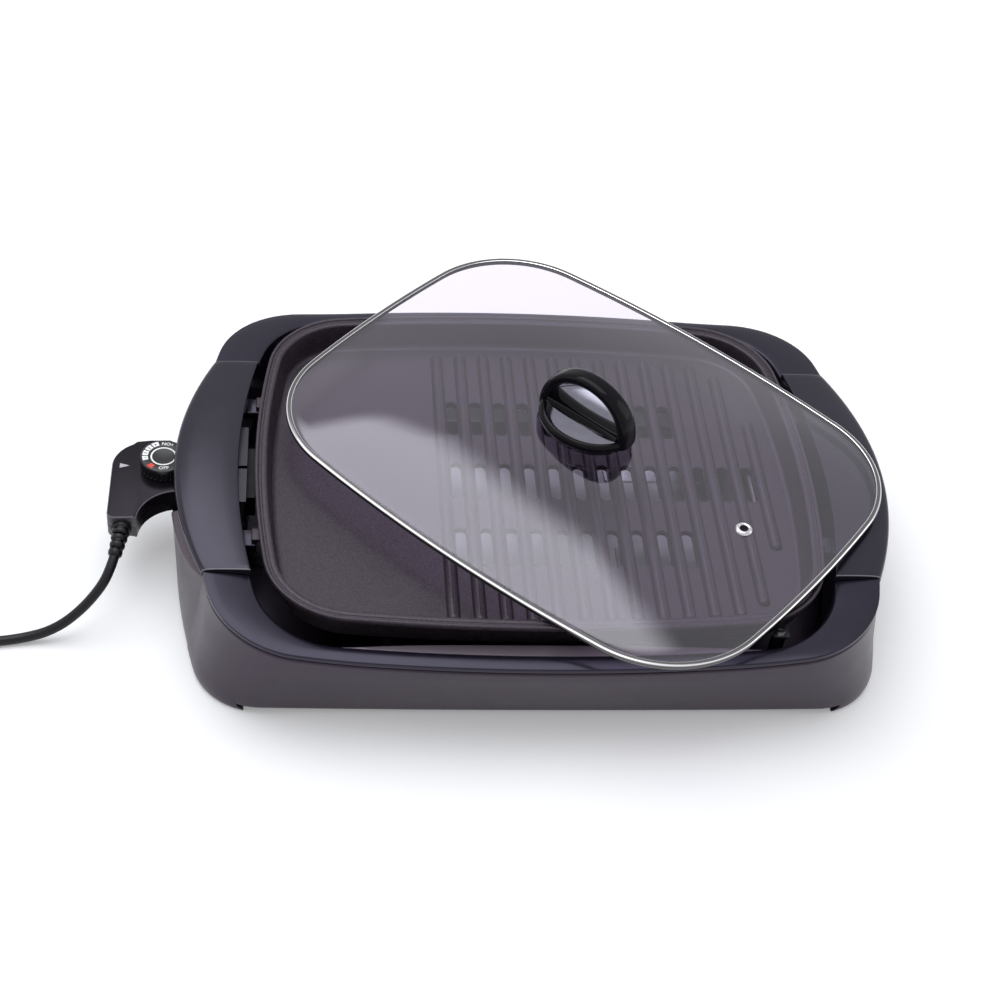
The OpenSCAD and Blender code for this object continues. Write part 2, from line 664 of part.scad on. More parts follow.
function bulge(share) = max(0, min(1, share / glass_edge) - glass_flat) / (1 - glass_flat);
function dome_z(share) = lid_dome * (1 - pow(bulge(share), 2));
module lid_glass() {
    edge = outline(inset(lid_outline, 1));
    shares = [0.1, glass_flat, 0.36, 0.52, 0.68, 0.82, glass_edge, 1];
    function glass_ring(s, z) = [for (p = edge) [p.x * s, p.y * s, z + dome_z(s)]];
    color([0.8, 0.84, 0.86], 0.3) place_lid() difference() {
        skin(concat([for (s = shares) glass_ring(s, glass_low)],
                    [for (i = [len(shares) - 1 : -1 : 0])
                        glass_ring(shares[i], glass_low + glass_thickness)]));
        cylinder(h = glass_top_z + 1, r = 4, $fn = 32);
        translate([vent_distance, 0, 0])
            cylinder(h = glass_top_z + 1, r = vent_diameter / 2 - 1.5, $fn = 32);
    }
}

module lid_rim() {
    function rim_ring(d, z) = flat_ring(outline(inset(lid_outline, d)), lid_z + z);
    h = lid_rim_height;
    color(bright_steel) place_lid() skin([
        rim_ring(lid_rim_lip - 0.6, 0), rim_ring(0.8, 0), rim_ring(0, 0.9), rim_ring(0, h - 0.9),
        rim_ring(0.8, h), rim_ring(lid_rim_lip, h), rim_ring(lid_rim_lip, h - band), rim_ring(0.9, h - band),
        rim_ring(0.9, band), rim_ring(lid_rim_lip - 0.6, band)
    ], tube = true);
}

seal_height = 0.8;
knob_z = glass_top_z + seal_height;
ridge_width = 12.4;
ridge_height = 12;
bow_steps = 14;
bow_thickness = 8.5;
module lid_knob() {
    half = knob_length / 2 - bow_thickness / 2;
    rise = knob_height - 6 - bow_thickness / 2;
    color(gloss_black) place_lid() translate([0, 0, knob_z]) difference() {
        union() {
            // oval foot with a dished top
            skin([for (q = [[0, 0.86], [1.2, 0.93], [4, 0.98], [8, 1], [10.5, 0.97], [11.5, 0.9],
                            [9.5, 0.7], [8.4, 0.45]])
                [for (a = [0 : 10 : 350])
                    [q[1] * (knob_length / 2 - 2) * cos(a), q[1] * knob_base_width / 2 * sin(a), q[0]]]]);
            // ridge between the ends of the bow
            skin([for (i = [0 : 8])
                let (t = i / 4 - 1, w = ridge_width / 2 + 2.2 * t * t, top = ridge_height + 1.8 * t * t)
                [for (q = [[w + 2, 7.3], [w, top - 1.6], [w - 1.4, top], [-w + 1.4, top],
                           [-w, top - 1.6], [-w - 2, 7.3]])
                    [(half - 2.9) * t, q[0], q[1]]]]);
            // bow over the fingers
            skin([for (i = [0 : bow_steps]) let (a = 180 * (1 - i / bow_steps),
                    c = [half * cos(a), 0, 6 + rise * pow(sin(a), 0.85)],
                    n = [cos(a), 0, sin(a)], w = mix(knob_grip_width, knob_grip_width * 0.8, sin(a)) / 2)
                [for (k = [0 : 30 : 330])
                    c + n * squared(cos(k), 0.75) * bow_thickness / 2 - [0, squared(sin(k), 0.75) * w, 0]]]);
        }
        translate([0, 0, -1]) cylinder(h = 9, r = pilot_hole, $fn = 24);
    }
}
module knob_seal() {
    color([0.12, 0.12, 0.12]) place_lid() translate([0, 0, glass_top_z]) difference() {
        cylinder(h = seal_height, r = knob_base_width / 2 - 5, $fn = 64);
        translate([0, 0, -1]) cylinder(h = 3, r = 3, $fn = 32);
    }
}
module knob_screw() {
    color(bright_steel) place_lid() translate([0, 0, glass_top_z - glass_thickness]) {
        cylinder(h = glass_thickness + seal_height + 7, r = screw_radius, $fn = 24);
        translate([0, 0, -1.2]) cylinder(h = 1.2, r = 9, $fn = 40);
        translate([0, 0, -3.6]) cylinder(h = 2.4, r = 3.6, $fn = 32);
    }
}
module vent_grommet() {
    share = vent_distance / (lid_length / 2 - 1);
    z = glass_low + dome_z(share);
    tilt = atan((dome_z(share - 0.02) - dome_z(share + 0.02)) / (0.04 * lid_length / 2));
    r = vent_diameter / 2;
    top = glass_thickness + 1.5;
    color(bright_steel) place_lid() translate([vent_distance, 0, z]) rotate([0, tilt, 0])
        rotate_extrude($fn = 48)
            polygon([[2.6, -1.2], [r, -1.2], [r, -0.35], [r - 1.9, -0.35], [r - 1.9, glass_thickness + 0.35],
                     [r, glass_thickness + 0.35], [r - 0.6, top], [2.6, top]]);
}

// ---- thermostat probe -----------------------------------------------------
wall_x = -half_length;                                     // the probe's sizes start at the base's side
probe_left = wall_x - 44.7;
probe_foot_y = -43;
probe_back_y = 34;
neck_x = block_x - 22;
neck_low_y = probe_y - pin_spacing / 2 - 7;
neck_high_y = probe_y + pin_spacing / 2 + 9;
nose_x = neck_x + 9;
nose_half = pin_spacing / 2 + 6;
bay_centre = [wall_x + 4.5, -44.6];
bay_radius = 28.7;
dial_centre = [wall_x - 8, 8.4];

module probe_plan(d) {
    plan = concat(
        [[probe_left + d, probe_foot_y + 5], [probe_left + 1.5 + d * 0.7, probe_foot_y + 1.5 + d * 0.7],
         [probe_left + 5, probe_foot_y + d], [wall_x - 28, probe_foot_y + d + 0.6]],
        [for (a = [176 : -11 : 102]) bay_centre + (bay_radius + d) * [cos(a), sin(a)]],
        [[wall_x + 9, neck_low_y + d], [neck_x - d, neck_low_y + d], [neck_x - d, neck_high_y - d],
         [wall_x + 11, neck_high_y - d], [wall_x + 5, neck_high_y + 3 - d], [wall_x - 5, probe_back_y + 2 - d],
         [wall_x - 19, probe_back_y + 1.5 - d], [wall_x - 28.3, probe_back_y - d]],
        [for (a = [118 : 12 : 178]) [wall_x - 20 + (24.7 - d) * cos(a), 9 + (24.7 - d) * sin(a)]]);
    polygon(plan);
}
shell_edge = 2;
module probe_shell(low, high, up) {
    translate([0, 0, low]) linear_extrude(high - low) probe_plan(0);
    for (i = [0 : 1]) translate([0, 0, up ? high + i * shell_edge / 2 : low - (i + 1) * shell_edge / 2])
        linear_extrude(shell_edge / 2) probe_plan(0.5 + i * 0.9);
}
cavity = [34, 30, probe_thickness - 7];
module probe_cuts() {
    translate([dial_centre.x + 4, probe_y, probe_z]) cube(cavity, center = true);
    translate([neck_x - 34, probe_y, probe_z]) rotate([0, 90, 0])
        cylinder(h = 60, d = sensor_diameter + 0.04, $fn = 32);
    for (y = pins_y) translate([neck_x - 12, y, probe_z]) rotate([0, 90, 0])
        cylinder(h = 40, r = sleeve_radius + 0.02, $fn = 32);
    translate([relief_x, probe_foot_y - 1, probe_z]) rotate([-90, 0, 0])
        cylinder(h = 12, r = 6.02, $fn = 32);
}
probe_screw_places = [[wall_x - 36, 20], [wall_x - 36, -22], [wall_x + 5, 23]];
half_thick = probe_thickness / 2;
module probe_upper_shell() {
    color(black_plastic) difference() {
        probe_shell(probe_z, probe_z + half_thick - shell_edge, true);
        probe_cuts();
        translate([dial_centre.x, dial_centre.y, probe_z])
            cylinder(h = 20, r = shaft_radius + fit, $fn = 32);
        for (p = probe_screw_places) translate([p.x, p.y, probe_z - 1])
            cylinder(h = 7, r = pilot_hole, $fn = 24);
    }
}
module probe_lower_shell() {
    color(black_plastic) difference() {
        union() {
            probe_shell(probe_z - half_thick + shell_edge, probe_z, false);
            difference() {
                translate([neck_x - 1, probe_y - nose_half, probe_z - 7])
                    cube([nose_x - neck_x + 1, 2 * nose_half, 14]);
                translate([neck_x - 2, probe_y - nose_half - 1, probe_z]) cube([2, 2 * nose_half + 2, 20]);
            }
        }
        probe_cuts();
        for (p = probe_screw_places) translate([p.x, p.y, 0]) {
            cylinder(h = probe_z + 1, r = screw_hole, $fn = 24);
            cylinder(h = probe_z - half_thick + 3, r = screw_head + 0.2, $fn = 32);
        }
    }
}
module probe_screws() {
    color(bright_steel) for (p = probe_screw_places) translate([p.x, p.y, probe_z - half_thick + 3])
        screw(probe_screw_length);
}
module thermostat_switch() {
    color([0.86, 0.80, 0.62]) difference() {
        translate([dial_centre.x + 4, probe_y, probe_z])
            cube([cavity.x - 2, cavity.y - 2, cavity.z - gap], center = true);
        translate([dial_centre.x, dial_centre.y, probe_z + 1])
            cylinder(h = 20, r = shaft_radius + gap, $fn = 32);
        translate([dial_centre.x + 10, probe_y, probe_z]) rotate([0, 90, 0])
            cylinder(h = 60, d = sensor_diameter + 0.04, $fn = 32);
    }
}
shaft_radius = 3;
dial_z = probe_z + half_thick + gap;
dial_height = handle_height - handle_lip - dial_clearance - dial_z;
module dial_shaft() {
    color(bright_steel) translate([dial_centre.x, dial_centre.y, probe_z + 1 + gap])
        cylinder(h = dial_z + 6 - probe_z - 1 - gap, r = shaft_radius, $fn = 32);
}
module control_dial() {
    r = dial_diameter / 2;
    color(black_plastic) translate([dial_centre.x, dial_centre.y, dial_z]) difference() {
        rotate_extrude($fn = 96)
            polygon([[0, 0], [r - 0.8, 0], [r, 0.8], [r, dial_height - 1], [r - 1, dial_height],
                     [r * 0.58, dial_height], [r * 0.54, dial_height - 0.5], [0, dial_height - 0.5]]);
        for (i = [0 : dial_flutes - 1]) rotate([0, 0, 360 / dial_flutes * i]) translate([r + 0.5, 0, 1])
            cylinder(h = dial_height - 3.2, r = 1.2, $fn = 16);
        translate([0, 0, -1]) cylinder(h = 7, r = shaft_radius + 0.02, $fn = 32);
    }
}
module sensor_rod() {
    color(bright_steel) {
        translate([dial_centre.x + 10, probe_y, probe_z]) rotate([0, 90, 0])
            cylinder(h = sensor_tip_x - sensor_diameter / 2 - dial_centre.x - 10, d = sensor_diameter, $fn = 32);
        translate([sensor_tip_x - sensor_diameter / 2, probe_y, probe_z]) sphere(d = sensor_diameter, $fn = 32);
    }
}
sleeve_radius = pin_diameter / 2 + 1.9;
module contact_sleeves() {
    color(sheet_steel) for (y = pins_y) translate([neck_x - 12, y, probe_z]) rotate([0, 90, 0])
        difference() {
            cylinder(h = nose_x - neck_x + 14, r = sleeve_radius, $fn = 32);
            translate([0, 0, 8]) cylinder(h = 60, d = pin_diameter + 0.4, $fn = 24);
        }
}

// ---- cord -----------------------------------------------------------------
relief_x = wall_x - 34.5;
relief_end = [-295.5, -66, 50];
relief_ribs = 5;
// Route of the cord from the strain relief to the coil, chosen by hand
cord_points = [
    [-294.4, -62, 51.8], [-297.6, -72, 46.4], [-302, -79.6, 40], [-309, -85.4, 32], [-318, -90, 23],
    [-329, -94, 14.4], [-341, -97, 8.4], [-354, -99, 5], [-368, -101, 3.6], [-384, -103, 3.6], [-400, -103.8, 3.6], [-416, -104, 4],
    [-432, -104, 4.2], [-442, -103.5, 4.3]
];
coil_centre = [-442, -60];
coil_mid = 40;
tie_thickness = 0.8;
// From the coil to the plug
tail_points = [for (y = [-60 : 8 : -28]) [-485.5, y, 11.3]];
plug_y = -30;
plug_z = 11.3;

function unit(v) = v / norm(v);
function path_tangent(p, i) = unit(p[min(i + 1, len(p) - 1)] - p[max(i - 1, 0)]);
function round_section(c, t, r, n) =
    let (side = unit(cross(t, [0, 0, 1])), up = cross(t, side))
    [for (k = [0 : n - 1]) c + r * (cos(360 * k / n) * side + sin(360 * k / n) * up)];
module cord_tube(points, r, n = 10) {
    skin([for (i = [0 : len(points) - 1]) round_section(points[i], path_tangent(points, i), r, n)]);
}

module strain_relief() {
    start = [relief_x, probe_foot_y + 8, probe_z];
    face = [relief_x, probe_foot_y, probe_z];
    color(rubber_black) {
        translate(start) rotate([90, 0, 0]) cylinder(h = 9, r = 6, $fn = 32);
        steps = 4 * relief_ribs;
        middle = [relief_x - 0.5, probe_foot_y - 9, probe_z - 0.5];
        skin([for (i = [0 : steps])
            let (t = i / steps, groove = i % 4 == 0 && i > 0 && i < steps ? 0.8 : 1,
                 c = bezier(face - [0, 0.5, 0], middle, relief_end, t),
                 q = unit(bezier_slope(face, middle, relief_end, t)))
            round_section(c, q, groove * mix(6.6, cord_diameter / 2 + 0.9, t), 16)]);
    }
}
function bezier(a, b, c, t) = (1 - t) * (1 - t) * a + 2 * t * (1 - t) * b + t * t * c;
function bezier_slope(a, b, c, t) = (1 - t) * (b - a) + t * (c - b);

module cord_run() {
    color(rubber_black) {
        cord_tube(cord_points, cord_diameter / 2);
        cord_tube(tail_points, cord_diameter / 2);
    }
}
module cord_coil() {
    color(rubber_black) translate([coil_centre.x, coil_centre.y, tie_thickness]) rotate_extrude($fn = 96)
        translate([coil_mid - cord_diameter, 0]) square([2 * cord_diameter, 2 * cord_diameter]);
}
module cord_tie() {
    h = 2 * cord_diameter;
    color([0.10, 0.10, 0.10]) translate([coil_centre.x + coil_mid, coil_centre.y, 0]) difference() {
        translate([-cord_diameter - 1.8, -5, 0]) cube([h + 3.6, 10, h + 2 * tie_thickness]);
        translate([-cord_diameter - 1, -6, tie_thickness]) cube([h + 2, 12, h]);
    }
}
module plug_body() {
    color(rubber_black) translate([tail_points[0].x, plug_y, plug_z]) {
        skin([for (q = [[0, 4.6, 4.6], [8, 5, 5], [20, 6, 6], [22, 9, 8], [27, 12, 10], [40, 13, 10.8],
                        [52, 13.5, 11], [55, 13, 10.6]])
            [for (a = [0 : 20 : 340]) [q[1] * squared(cos(a), 0.7), q[0], -q[2] * squared(sin(a), 0.7)]]]);
    }
}
module plug_blades() {
    color([0.80, 0.68, 0.40]) translate([tail_points[0].x, plug_y + 55, plug_z]) {
        for (s = [-1, 1]) translate([s * 6.35 - 0.75, 0, 0.8]) cube([1.5, 17, 6.3]);
        translate([0, 0, -7.9]) rotate([-90, 0, 0]) cylinder(h = 19, d = 4.8, $fn = 24);
    }
}

base_tub();
bottom_panel();
bezel_frame();
left_handle();
right_handle();
rubber_feet();
base_screws();
handle_screws();
drip_tray();
element_brackets();
bracket_screws();
heating_element();
terminal_block();
terminal_pins();
terminal_guard();
thermowell();
grill_plate();
lid_glass();
lid_rim();
lid_knob();
knob_seal();
knob_screw();
vent_grommet();
probe_upper_shell();
probe_lower_shell();
probe_screws();
thermostat_switch();
dial_shaft();
control_dial();
sensor_rod();
contact_sleeves();
strain_relief();
cord_run();
cord_coil();
cord_tie();
plug_body();
plug_blades();
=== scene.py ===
import math

import bmesh
import bpy
from mathutils import Matrix, Vector


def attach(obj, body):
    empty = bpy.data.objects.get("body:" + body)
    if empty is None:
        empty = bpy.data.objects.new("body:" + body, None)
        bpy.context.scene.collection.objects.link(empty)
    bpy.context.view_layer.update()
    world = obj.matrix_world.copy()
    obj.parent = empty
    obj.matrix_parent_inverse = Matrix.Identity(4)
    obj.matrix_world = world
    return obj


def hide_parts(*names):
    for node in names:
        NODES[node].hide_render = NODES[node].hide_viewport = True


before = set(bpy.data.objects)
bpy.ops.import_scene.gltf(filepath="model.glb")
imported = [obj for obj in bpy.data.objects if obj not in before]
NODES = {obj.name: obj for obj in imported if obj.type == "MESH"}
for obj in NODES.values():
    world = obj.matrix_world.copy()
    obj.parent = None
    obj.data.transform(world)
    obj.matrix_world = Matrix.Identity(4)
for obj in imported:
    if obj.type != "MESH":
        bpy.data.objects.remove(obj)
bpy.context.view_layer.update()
MM = 0.001


# ---- mesh helpers ----
def add_object(name, data):
    ob = bpy.data.objects.new(name, data)
    bpy.context.scene.collection.objects.link(ob)
    return ob


def mesh_object(name, verts, faces, material=None, smooth=35):
    """A mesh from points in millimetres, with its normals outwards and its edges shaded."""
    mesh = bpy.data.meshes.new(name)
    mesh.from_pydata([Vector(v) * MM for v in verts], [], faces)
    mesh.validate()
    ob = add_object(name, mesh)
    bm = bmesh.new()
    bm.from_mesh(mesh)
    bmesh.ops.recalc_face_normals(bm, faces=bm.faces)
    bm.to_mesh(mesh)
    bm.free()
    shade(ob, smooth)
    if material:
        mesh.materials.append(material)
    return ob


def shade(ob, angle):
    ob.data.polygons.foreach_set("use_smooth", [True] * len(ob.data.polygons))
    ob.data.set_sharp_from_angle(angle=math.radians(angle))


def cut(ob, *cutters, smooth=35):
    """Takes the cutters away from the object with exact booleans, then shades the result."""
    for cutter in cutters:
        mod = ob.modifiers.new("cut", "BOOLEAN")
        mod.operation = "DIFFERENCE"
        mod.solver = "EXACT"
        mod.object = cutter
    deps = bpy.context.evaluated_depsgraph_get()
    deps.update()
    mesh = bpy.data.meshes.new_from_object(ob.evaluated_get(deps))
    ob.modifiers.clear()
    old = ob.data
    ob.data = mesh
    bpy.data.meshes.remove(old)
    for cutter in cutters:
        bpy.data.objects.remove(cutter)
    shade(ob, smooth)
    return ob


def recolour(ob, material, wanted):
    """Gives another material to the faces whose centre in millimetres and normal pass the test."""
    ob.data.materials.append(material)
    for face in ob.data.polygons:
        if wanted(face.center / MM, face.normal):
            face.material_index = len(ob.data.materials) - 1
    return ob


def box_object(name, low, high):
    v = [(x, y, z) for x in (low[0], high[0]) for y in (low[1], high[1]) for z in (low[2], high[2])]
    f = [(0, 1, 3, 2), (4, 6, 7, 5), (0, 4, 5, 1), (2, 3, 7, 6), (0, 2, 6, 4), (1, 5, 7, 3)]
    return mesh_object(name, v, f)


def skin(name, rings, material=None, tube=False, smooth=35):
    """A closed solid through rings of points; a tube joins the last ring to the first."""
    n = len(rings[0])
    m = len(rings)
    verts = [p for ring in rings for p in ring]
    faces = []
    for i in range(m if tube else m - 1):
        for j in range(n):
            a, b = i * n + j, i * n + (j + 1) % n
            c, d = ((i + 1) % m) * n + j, ((i + 1) % m) * n + (j + 1) % n
            faces.append((a, b, d, c))
    if not tube:
        faces.append(tuple(range(n))[::-1])
        faces.append(tuple(range((m - 1) * n, m * n)))
    return mesh_object(name, verts, faces, material, smooth)


def turns(n):
    """n equal steps round a full turn, in radians."""
    return [2 * math.pi * k / n for k in range(n)]


def lathe(name, profile, steps, material=None, centre=(0, 0, 0), smooth=35):
    x, y, z = centre
    rings = [[(x + r * math.cos(a), y + r * math.sin(a), z + h) for a in turns(steps)] for r, h in profile]
    return skin(name, rings, material, smooth=smooth)


def join(name, parts):
    """Joins objects into one mesh, keeping their materials."""
    bm = bmesh.new()
    materials = []
    for ob in parts:
        start = len(bm.faces)
        bm.from_mesh(ob.data)
        bm.faces.ensure_lookup_table()
        own = list(ob.data.materials)
        for f in bm.faces[start:]:
            m = own[f.material_index] if own else None
            if m not in materials:
                materials.append(m)
            f.material_index = materials.index(m)
    mesh = bpy.data.meshes.new(name)
    bm.to_mesh(mesh)
    bm.free()
    for ob in parts:
        bpy.data.objects.remove(ob)
    for m in materials:
        mesh.materials.append(m)
    return add_object(name, mesh)


# ---- camera ----
cam_data = bpy.data.cameras.new("camera")
cam = add_object("camera", cam_data)
cam_data.sensor_width = 36
cam_data.lens = 65.978
cam_data.clip_end = 50
FORWARD = Vector((0.11329172, 0.70126806, -0.70383811))
RIGHT = Vector((0.99344832, -0.06924885, 0.09091219))
UP = RIGHT.cross(FORWARD)
cam.matrix_world = Matrix((
    (RIGHT.x, UP.x, -FORWARD.x, -0.174716),
    (RIGHT.y, UP.y, -FORWARD.y, -0.941567),
    (RIGHT.z, UP.z, -FORWARD.z, 0.991379),
    (0, 0, 0, 1)))
bpy.context.scene.camera = cam


# ---- materials ----
class Nodes:
    """A node tree and short ways to add to it."""

    def __init__(self, tree):
        self.tree = tree

    def node(self, kind, **inputs):
        n = self.tree.nodes.new(kind)
        for key, value in inputs.items():
            n.inputs[key].default_value = value
        return n

    def link(self, a, b):
        self.tree.links.new(a, b)

    def feed(self, value, socket):
        """Sets a socket to a number, or links an output to it."""
        if isinstance(value, (int, float)):
            socket.default_value = value
        else:
            self.link(value, socket)

    def maths(self, operation, a, b):
        n = self.node("ShaderNodeMath")
        n.operation = operation
        self.feed(a, n.inputs[0])
        self.feed(b, n.inputs[1])
        return n.outputs[0]

    def blend(self, share, a, b):
        n = self.node("ShaderNodeMix")
        self.feed(share, n.inputs["Factor"])
        self.feed(a, n.inputs["A"])
        self.feed(b, n.inputs["B"])
        return n.outputs["Result"]

    def ramp(self, fac, low, high, a, b):
        """Maps fac from low..high to a..b; a and b are numbers or colours."""
        if hasattr(a, "__len__"):
            n = self.node("ShaderNodeValToRGB")
            for stop, place, color in zip(n.color_ramp.elements, (low, high), (a, b)):
                stop.position = place
                stop.color = (*color, 1)
            self.link(fac, n.inputs["Fac"])
            return n.outputs["Color"]
        n = self.node("ShaderNodeMapRange")
        for key, value in (("From Min", low), ("From Max", high), ("To Min", a), ("To Max", b)):
            n.inputs[key].default_value = value
        self.link(fac, n.inputs["Value"])
        return n.outputs["Result"]


class Mat(Nodes):
    """A Principled material and short names for the nodes that feed it."""
    NAMES = {"rough": "Roughness", "metal": "Metallic", "spec": "Specular IOR Level", "tint": "Specular Tint"}

    def __init__(self, name, **values):
        self.material = bpy.data.materials.new(name)
        self.material.use_nodes = True
        super().__init__(self.material.node_tree)
        self.shader = self.tree.nodes["Principled BSDF"]
        self.output = self.tree.nodes["Material Output"]
        for key, value in values.items():
            self.shader.inputs[self.NAMES[key]].default_value = (*value, 1) if key == "tint" else value

    def coords(self, scale=(1, 1, 1)):
        tc = self.node("ShaderNodeTexCoord")
        mp = self.node("ShaderNodeMapping", Scale=scale)
        self.link(tc.outputs["Object"], mp.inputs["Vector"])
        return mp.outputs["Vector"]

    def noise(self, scale, detail, rough, stretch=(1, 1, 1)):
        n = self.node("ShaderNodeTexNoise", Scale=scale, Detail=detail, Roughness=rough)
        self.link(self.coords(stretch), n.inputs["Vector"])
        return n.outputs["Fac"]

    def cells(self, scale):
        n = self.node("ShaderNodeTexVoronoi", Scale=scale)
        self.link(self.coords(), n.inputs["Vector"])
        return n.outputs["Distance"]

    def bump(self, height, strength, distance):
        n = self.node("ShaderNodeBump", Strength=strength, Distance=distance)
        self.link(height, n.inputs["Height"])
        self.link(n.outputs["Normal"], self.shader.inputs["Normal"])

    def color(self, socket):
        self.link(socket, self.shader.inputs["Base Color"])

    def rough(self, socket):
        self.link(socket, self.shader.inputs["Roughness"])


def plastic(name, color, rough, grain, grain_scale=1600, spec=0.5, tint=(1, 1, 1)):
    """Moulded plastic: fine spark-eroded grain, slow colour drift and small rubbed patches."""
    m = Mat(name, rough=rough, spec=spec, tint=tint)
    drift = 0.12
    darkest = [c * (1 - drift) for c in color]
    lightest = [c * (1 + drift) for c in color]
    m.color(m.ramp(m.noise(9, 4, 0.6), 0.3, 0.7, darkest, lightest))
    m.rough(m.ramp(m.noise(60, 5, 0.65), 0.3, 0.75, rough * 0.9, rough * 1.12))
    m.bump(m.noise(grain_scale, 2, 0.5), grain, 0.0001)
    return m.material


def steel(name, color, rough, stretch=(1, 1, 1), scale=400):
    """Bare or plated steel with fine drawn lines."""
    m = Mat(name, metal=1.0, rough=rough)
    m.color(m.ramp(m.noise(scale, 4, 0.6, stretch), 0.3, 0.7, [c * 0.88 for c in color], color))
    m.rough(m.ramp(m.noise(scale * 0.5, 3, 0.6, stretch), 0.3, 0.7, rough * 0.7, rough * 1.3))
    m.bump(m.noise(scale * 2, 2, 0.5, stretch), 0.06, 0.0001)
    return m.material


def rim_with_painted_light():
    """Polished rolled steel with painted light by the normal: a painted highlight along the shoulder that
    faces up and out, painted shade on the sides, underside and flat top.
    """
    m = Mat("rim_steel", metal=1.0, rough=0.12)
    up = m.node("ShaderNodeSeparateXYZ")
    m.link(m.node("ShaderNodeTexCoord").outputs["Normal"], up.inputs[0])
    n = m.node("ShaderNodeValToRGB")
    # Painted light levels, by the height of the normal.
    painted_light_stops = [(0.0, 0.13), (0.35, 0.09), (0.64, 0.42), (0.75, 1.0), (0.9, 0.94), (0.97, 0.20), (1.0, 0.16)]
    for i, (place, level) in enumerate(painted_light_stops):
        stop = n.color_ramp.elements[i] if i < 2 else n.color_ramp.elements.new(place)
        stop.position = place
        stop.color = (level, level * 0.97, level * 0.98, 1)
    m.link(up.outputs[2], n.inputs["Fac"])
    m.color(n.outputs["Color"])
    m.rough(m.ramp(m.noise(110, 3, 0.6), 0.3, 0.7, 0.09, 0.16))
    m.bump(m.noise(440, 2, 0.5), 0.04, 0.0001)
    return m.material


def nonstick():
    """The plate's coating: a mottled near black with fine light specks."""
    m = Mat("nonstick_coating", rough=0.38, spec=0.5, tint=(0.98, 0.82, 1.0))
    speck = m.cells(1100)
    base = m.ramp(m.noise(700, 3, 0.7), 0.35, 0.72, (0.006, 0.004, 0.006), (0.040, 0.031, 0.040))
    specks = m.node("ShaderNodeMix")
    specks.data_type = "RGBA"
    m.link(m.ramp(speck, 0.05, 0.25, 0.8, 0.0), specks.inputs["Factor"])
    m.link(base, specks.inputs["A"])
    specks.inputs["B"].default_value = (0.15, 0.135, 0.15, 1)
    m.color(specks.outputs["Result"])
    m.rough(m.ramp(m.noise(300, 4, 0.6), 0.3, 0.7, 0.32, 0.46))
    m.bump(m.noise(900, 3, 0.6), 0.45, 0.00018)
    return m.material


def clear_glass():
    """Thin clear glass: what is behind it, slightly tinted, under the mirror image of both faces."""
    m = Mat("lid_glass")
    m.tree.nodes.remove(m.shader)
    see = m.node("ShaderNodeBsdfTransparent", Color=(0.95, 0.92, 0.985, 1))
    gloss = m.node("ShaderNodeBsdfGlossy", Color=(0.97, 0.935, 1, 1), Roughness=0.03)
    fresnel = m.node("ShaderNodeFresnel", IOR=1.52)
    both = m.maths("MULTIPLY", fresnel.outputs[0], m.ramp(m.noise(6, 2, 0.5), 0.3, 0.7, 1.9, 2.05))
    outside = m.maths("SUBTRACT", 1, m.node("ShaderNodeNewGeometry").outputs["Backfacing"])
    both = m.maths("MULTIPLY", both, outside)
    pane = m.node("ShaderNodeMixShader")
    m.link(both, pane.inputs["Fac"])
    m.link(see.outputs[0], pane.inputs[1])
    m.link(gloss.outputs[0], pane.inputs[2])
    m.link(pane.outputs[0], m.output.inputs["Surface"])
    return m.material


# Tints of the plastics' shine, and colours that several parts share.
SMOKE = (0.95, 0.80, 1.0)
SHADE = (0.70, 0.65, 0.84)
SATIN = (0.72, 0.66, 0.84)
NEAR_BLACK = (0.006, 0.005, 0.007)
RUBBER_GREY = (0.020, 0.019, 0.021)
TUB = plastic("tub_plastic", (0.018, 0.011, 0.020), 0.32, grain=0.2, grain_scale=1500, tint=SMOKE)
# Lighter plastic colour that is a painted highlight: on the upward ledge faces under the handles and on the
# front ledge of the well.
LEDGE_PAINTED_LIGHT = plastic("ledge_painted_light", (0.105, 0.085, 0.102), 0.30, grain=0.02, grain_scale=1500, tint=SMOKE)
BEZEL = plastic("bezel_plastic", (0.007, 0.006, 0.012), 0.25, grain=0.05, grain_scale=1800, tint=SHADE)
HANDLE = plastic("handle_plastic", (0.011, 0.010, 0.015), 0.17, grain=0.02, grain_scale=900, tint=SATIN)
KNOB = plastic("knob_plastic", (0.004, 0.003, 0.005), 0.06, grain=0.01, grain_scale=300, spec=0.12)
# Light colour that is a painted highlight along the handles' end edges and the probe's top bevel.
EDGE_PAINTED_HIGHLIGHT = plastic("edge_painted_highlight", (0.15, 0.138, 0.16), 0.20, grain=0.05, grain_scale=900)
DISH = steel("knob_dish", (0.23, 0.225, 0.27), 0.11, (1, 1, 1), 120)
PROBE = plastic("probe_plastic", NEAR_BLACK, 0.24, grain=0.12, grain_scale=1700, spec=0.17, tint=SMOKE)
# Lighter colour that is a painted highlight on the probe's front end face.
PROBE_END_PAINTED_LIGHT = plastic("probe_end_painted_light", (0.052, 0.048, 0.054), 0.30, grain=0.12, grain_scale=1700)
DIAL = plastic("dial_plastic", (0.008, 0.007, 0.009), 0.30, grain=0.12, grain_scale=1500, spec=0.4)
CORD = plastic("cord_rubber", NEAR_BLACK, 0.36, grain=0.1, grain_scale=900, spec=0.3)
FEET = plastic("foot_rubber", RUBBER_GREY, 0.7, grain=0.3, grain_scale=900)
SEAL = plastic("seal_rubber", RUBBER_GREY, 0.6, grain=0.2, grain_scale=900)
TIE = plastic("tie_plastic", RUBBER_GREY, 0.5, grain=0.2, grain_scale=900)
BLOCK = plastic("terminal_plastic", NEAR_BLACK, 0.4, grain=0.1, grain_scale=900, spec=0.2)
CERAMIC = plastic("ceramic", (0.62, 0.59, 0.52), 0.55, grain=0.2, grain_scale=700)
SCREW = steel("screw_steel", (0.62, 0.62, 0.64), 0.28)
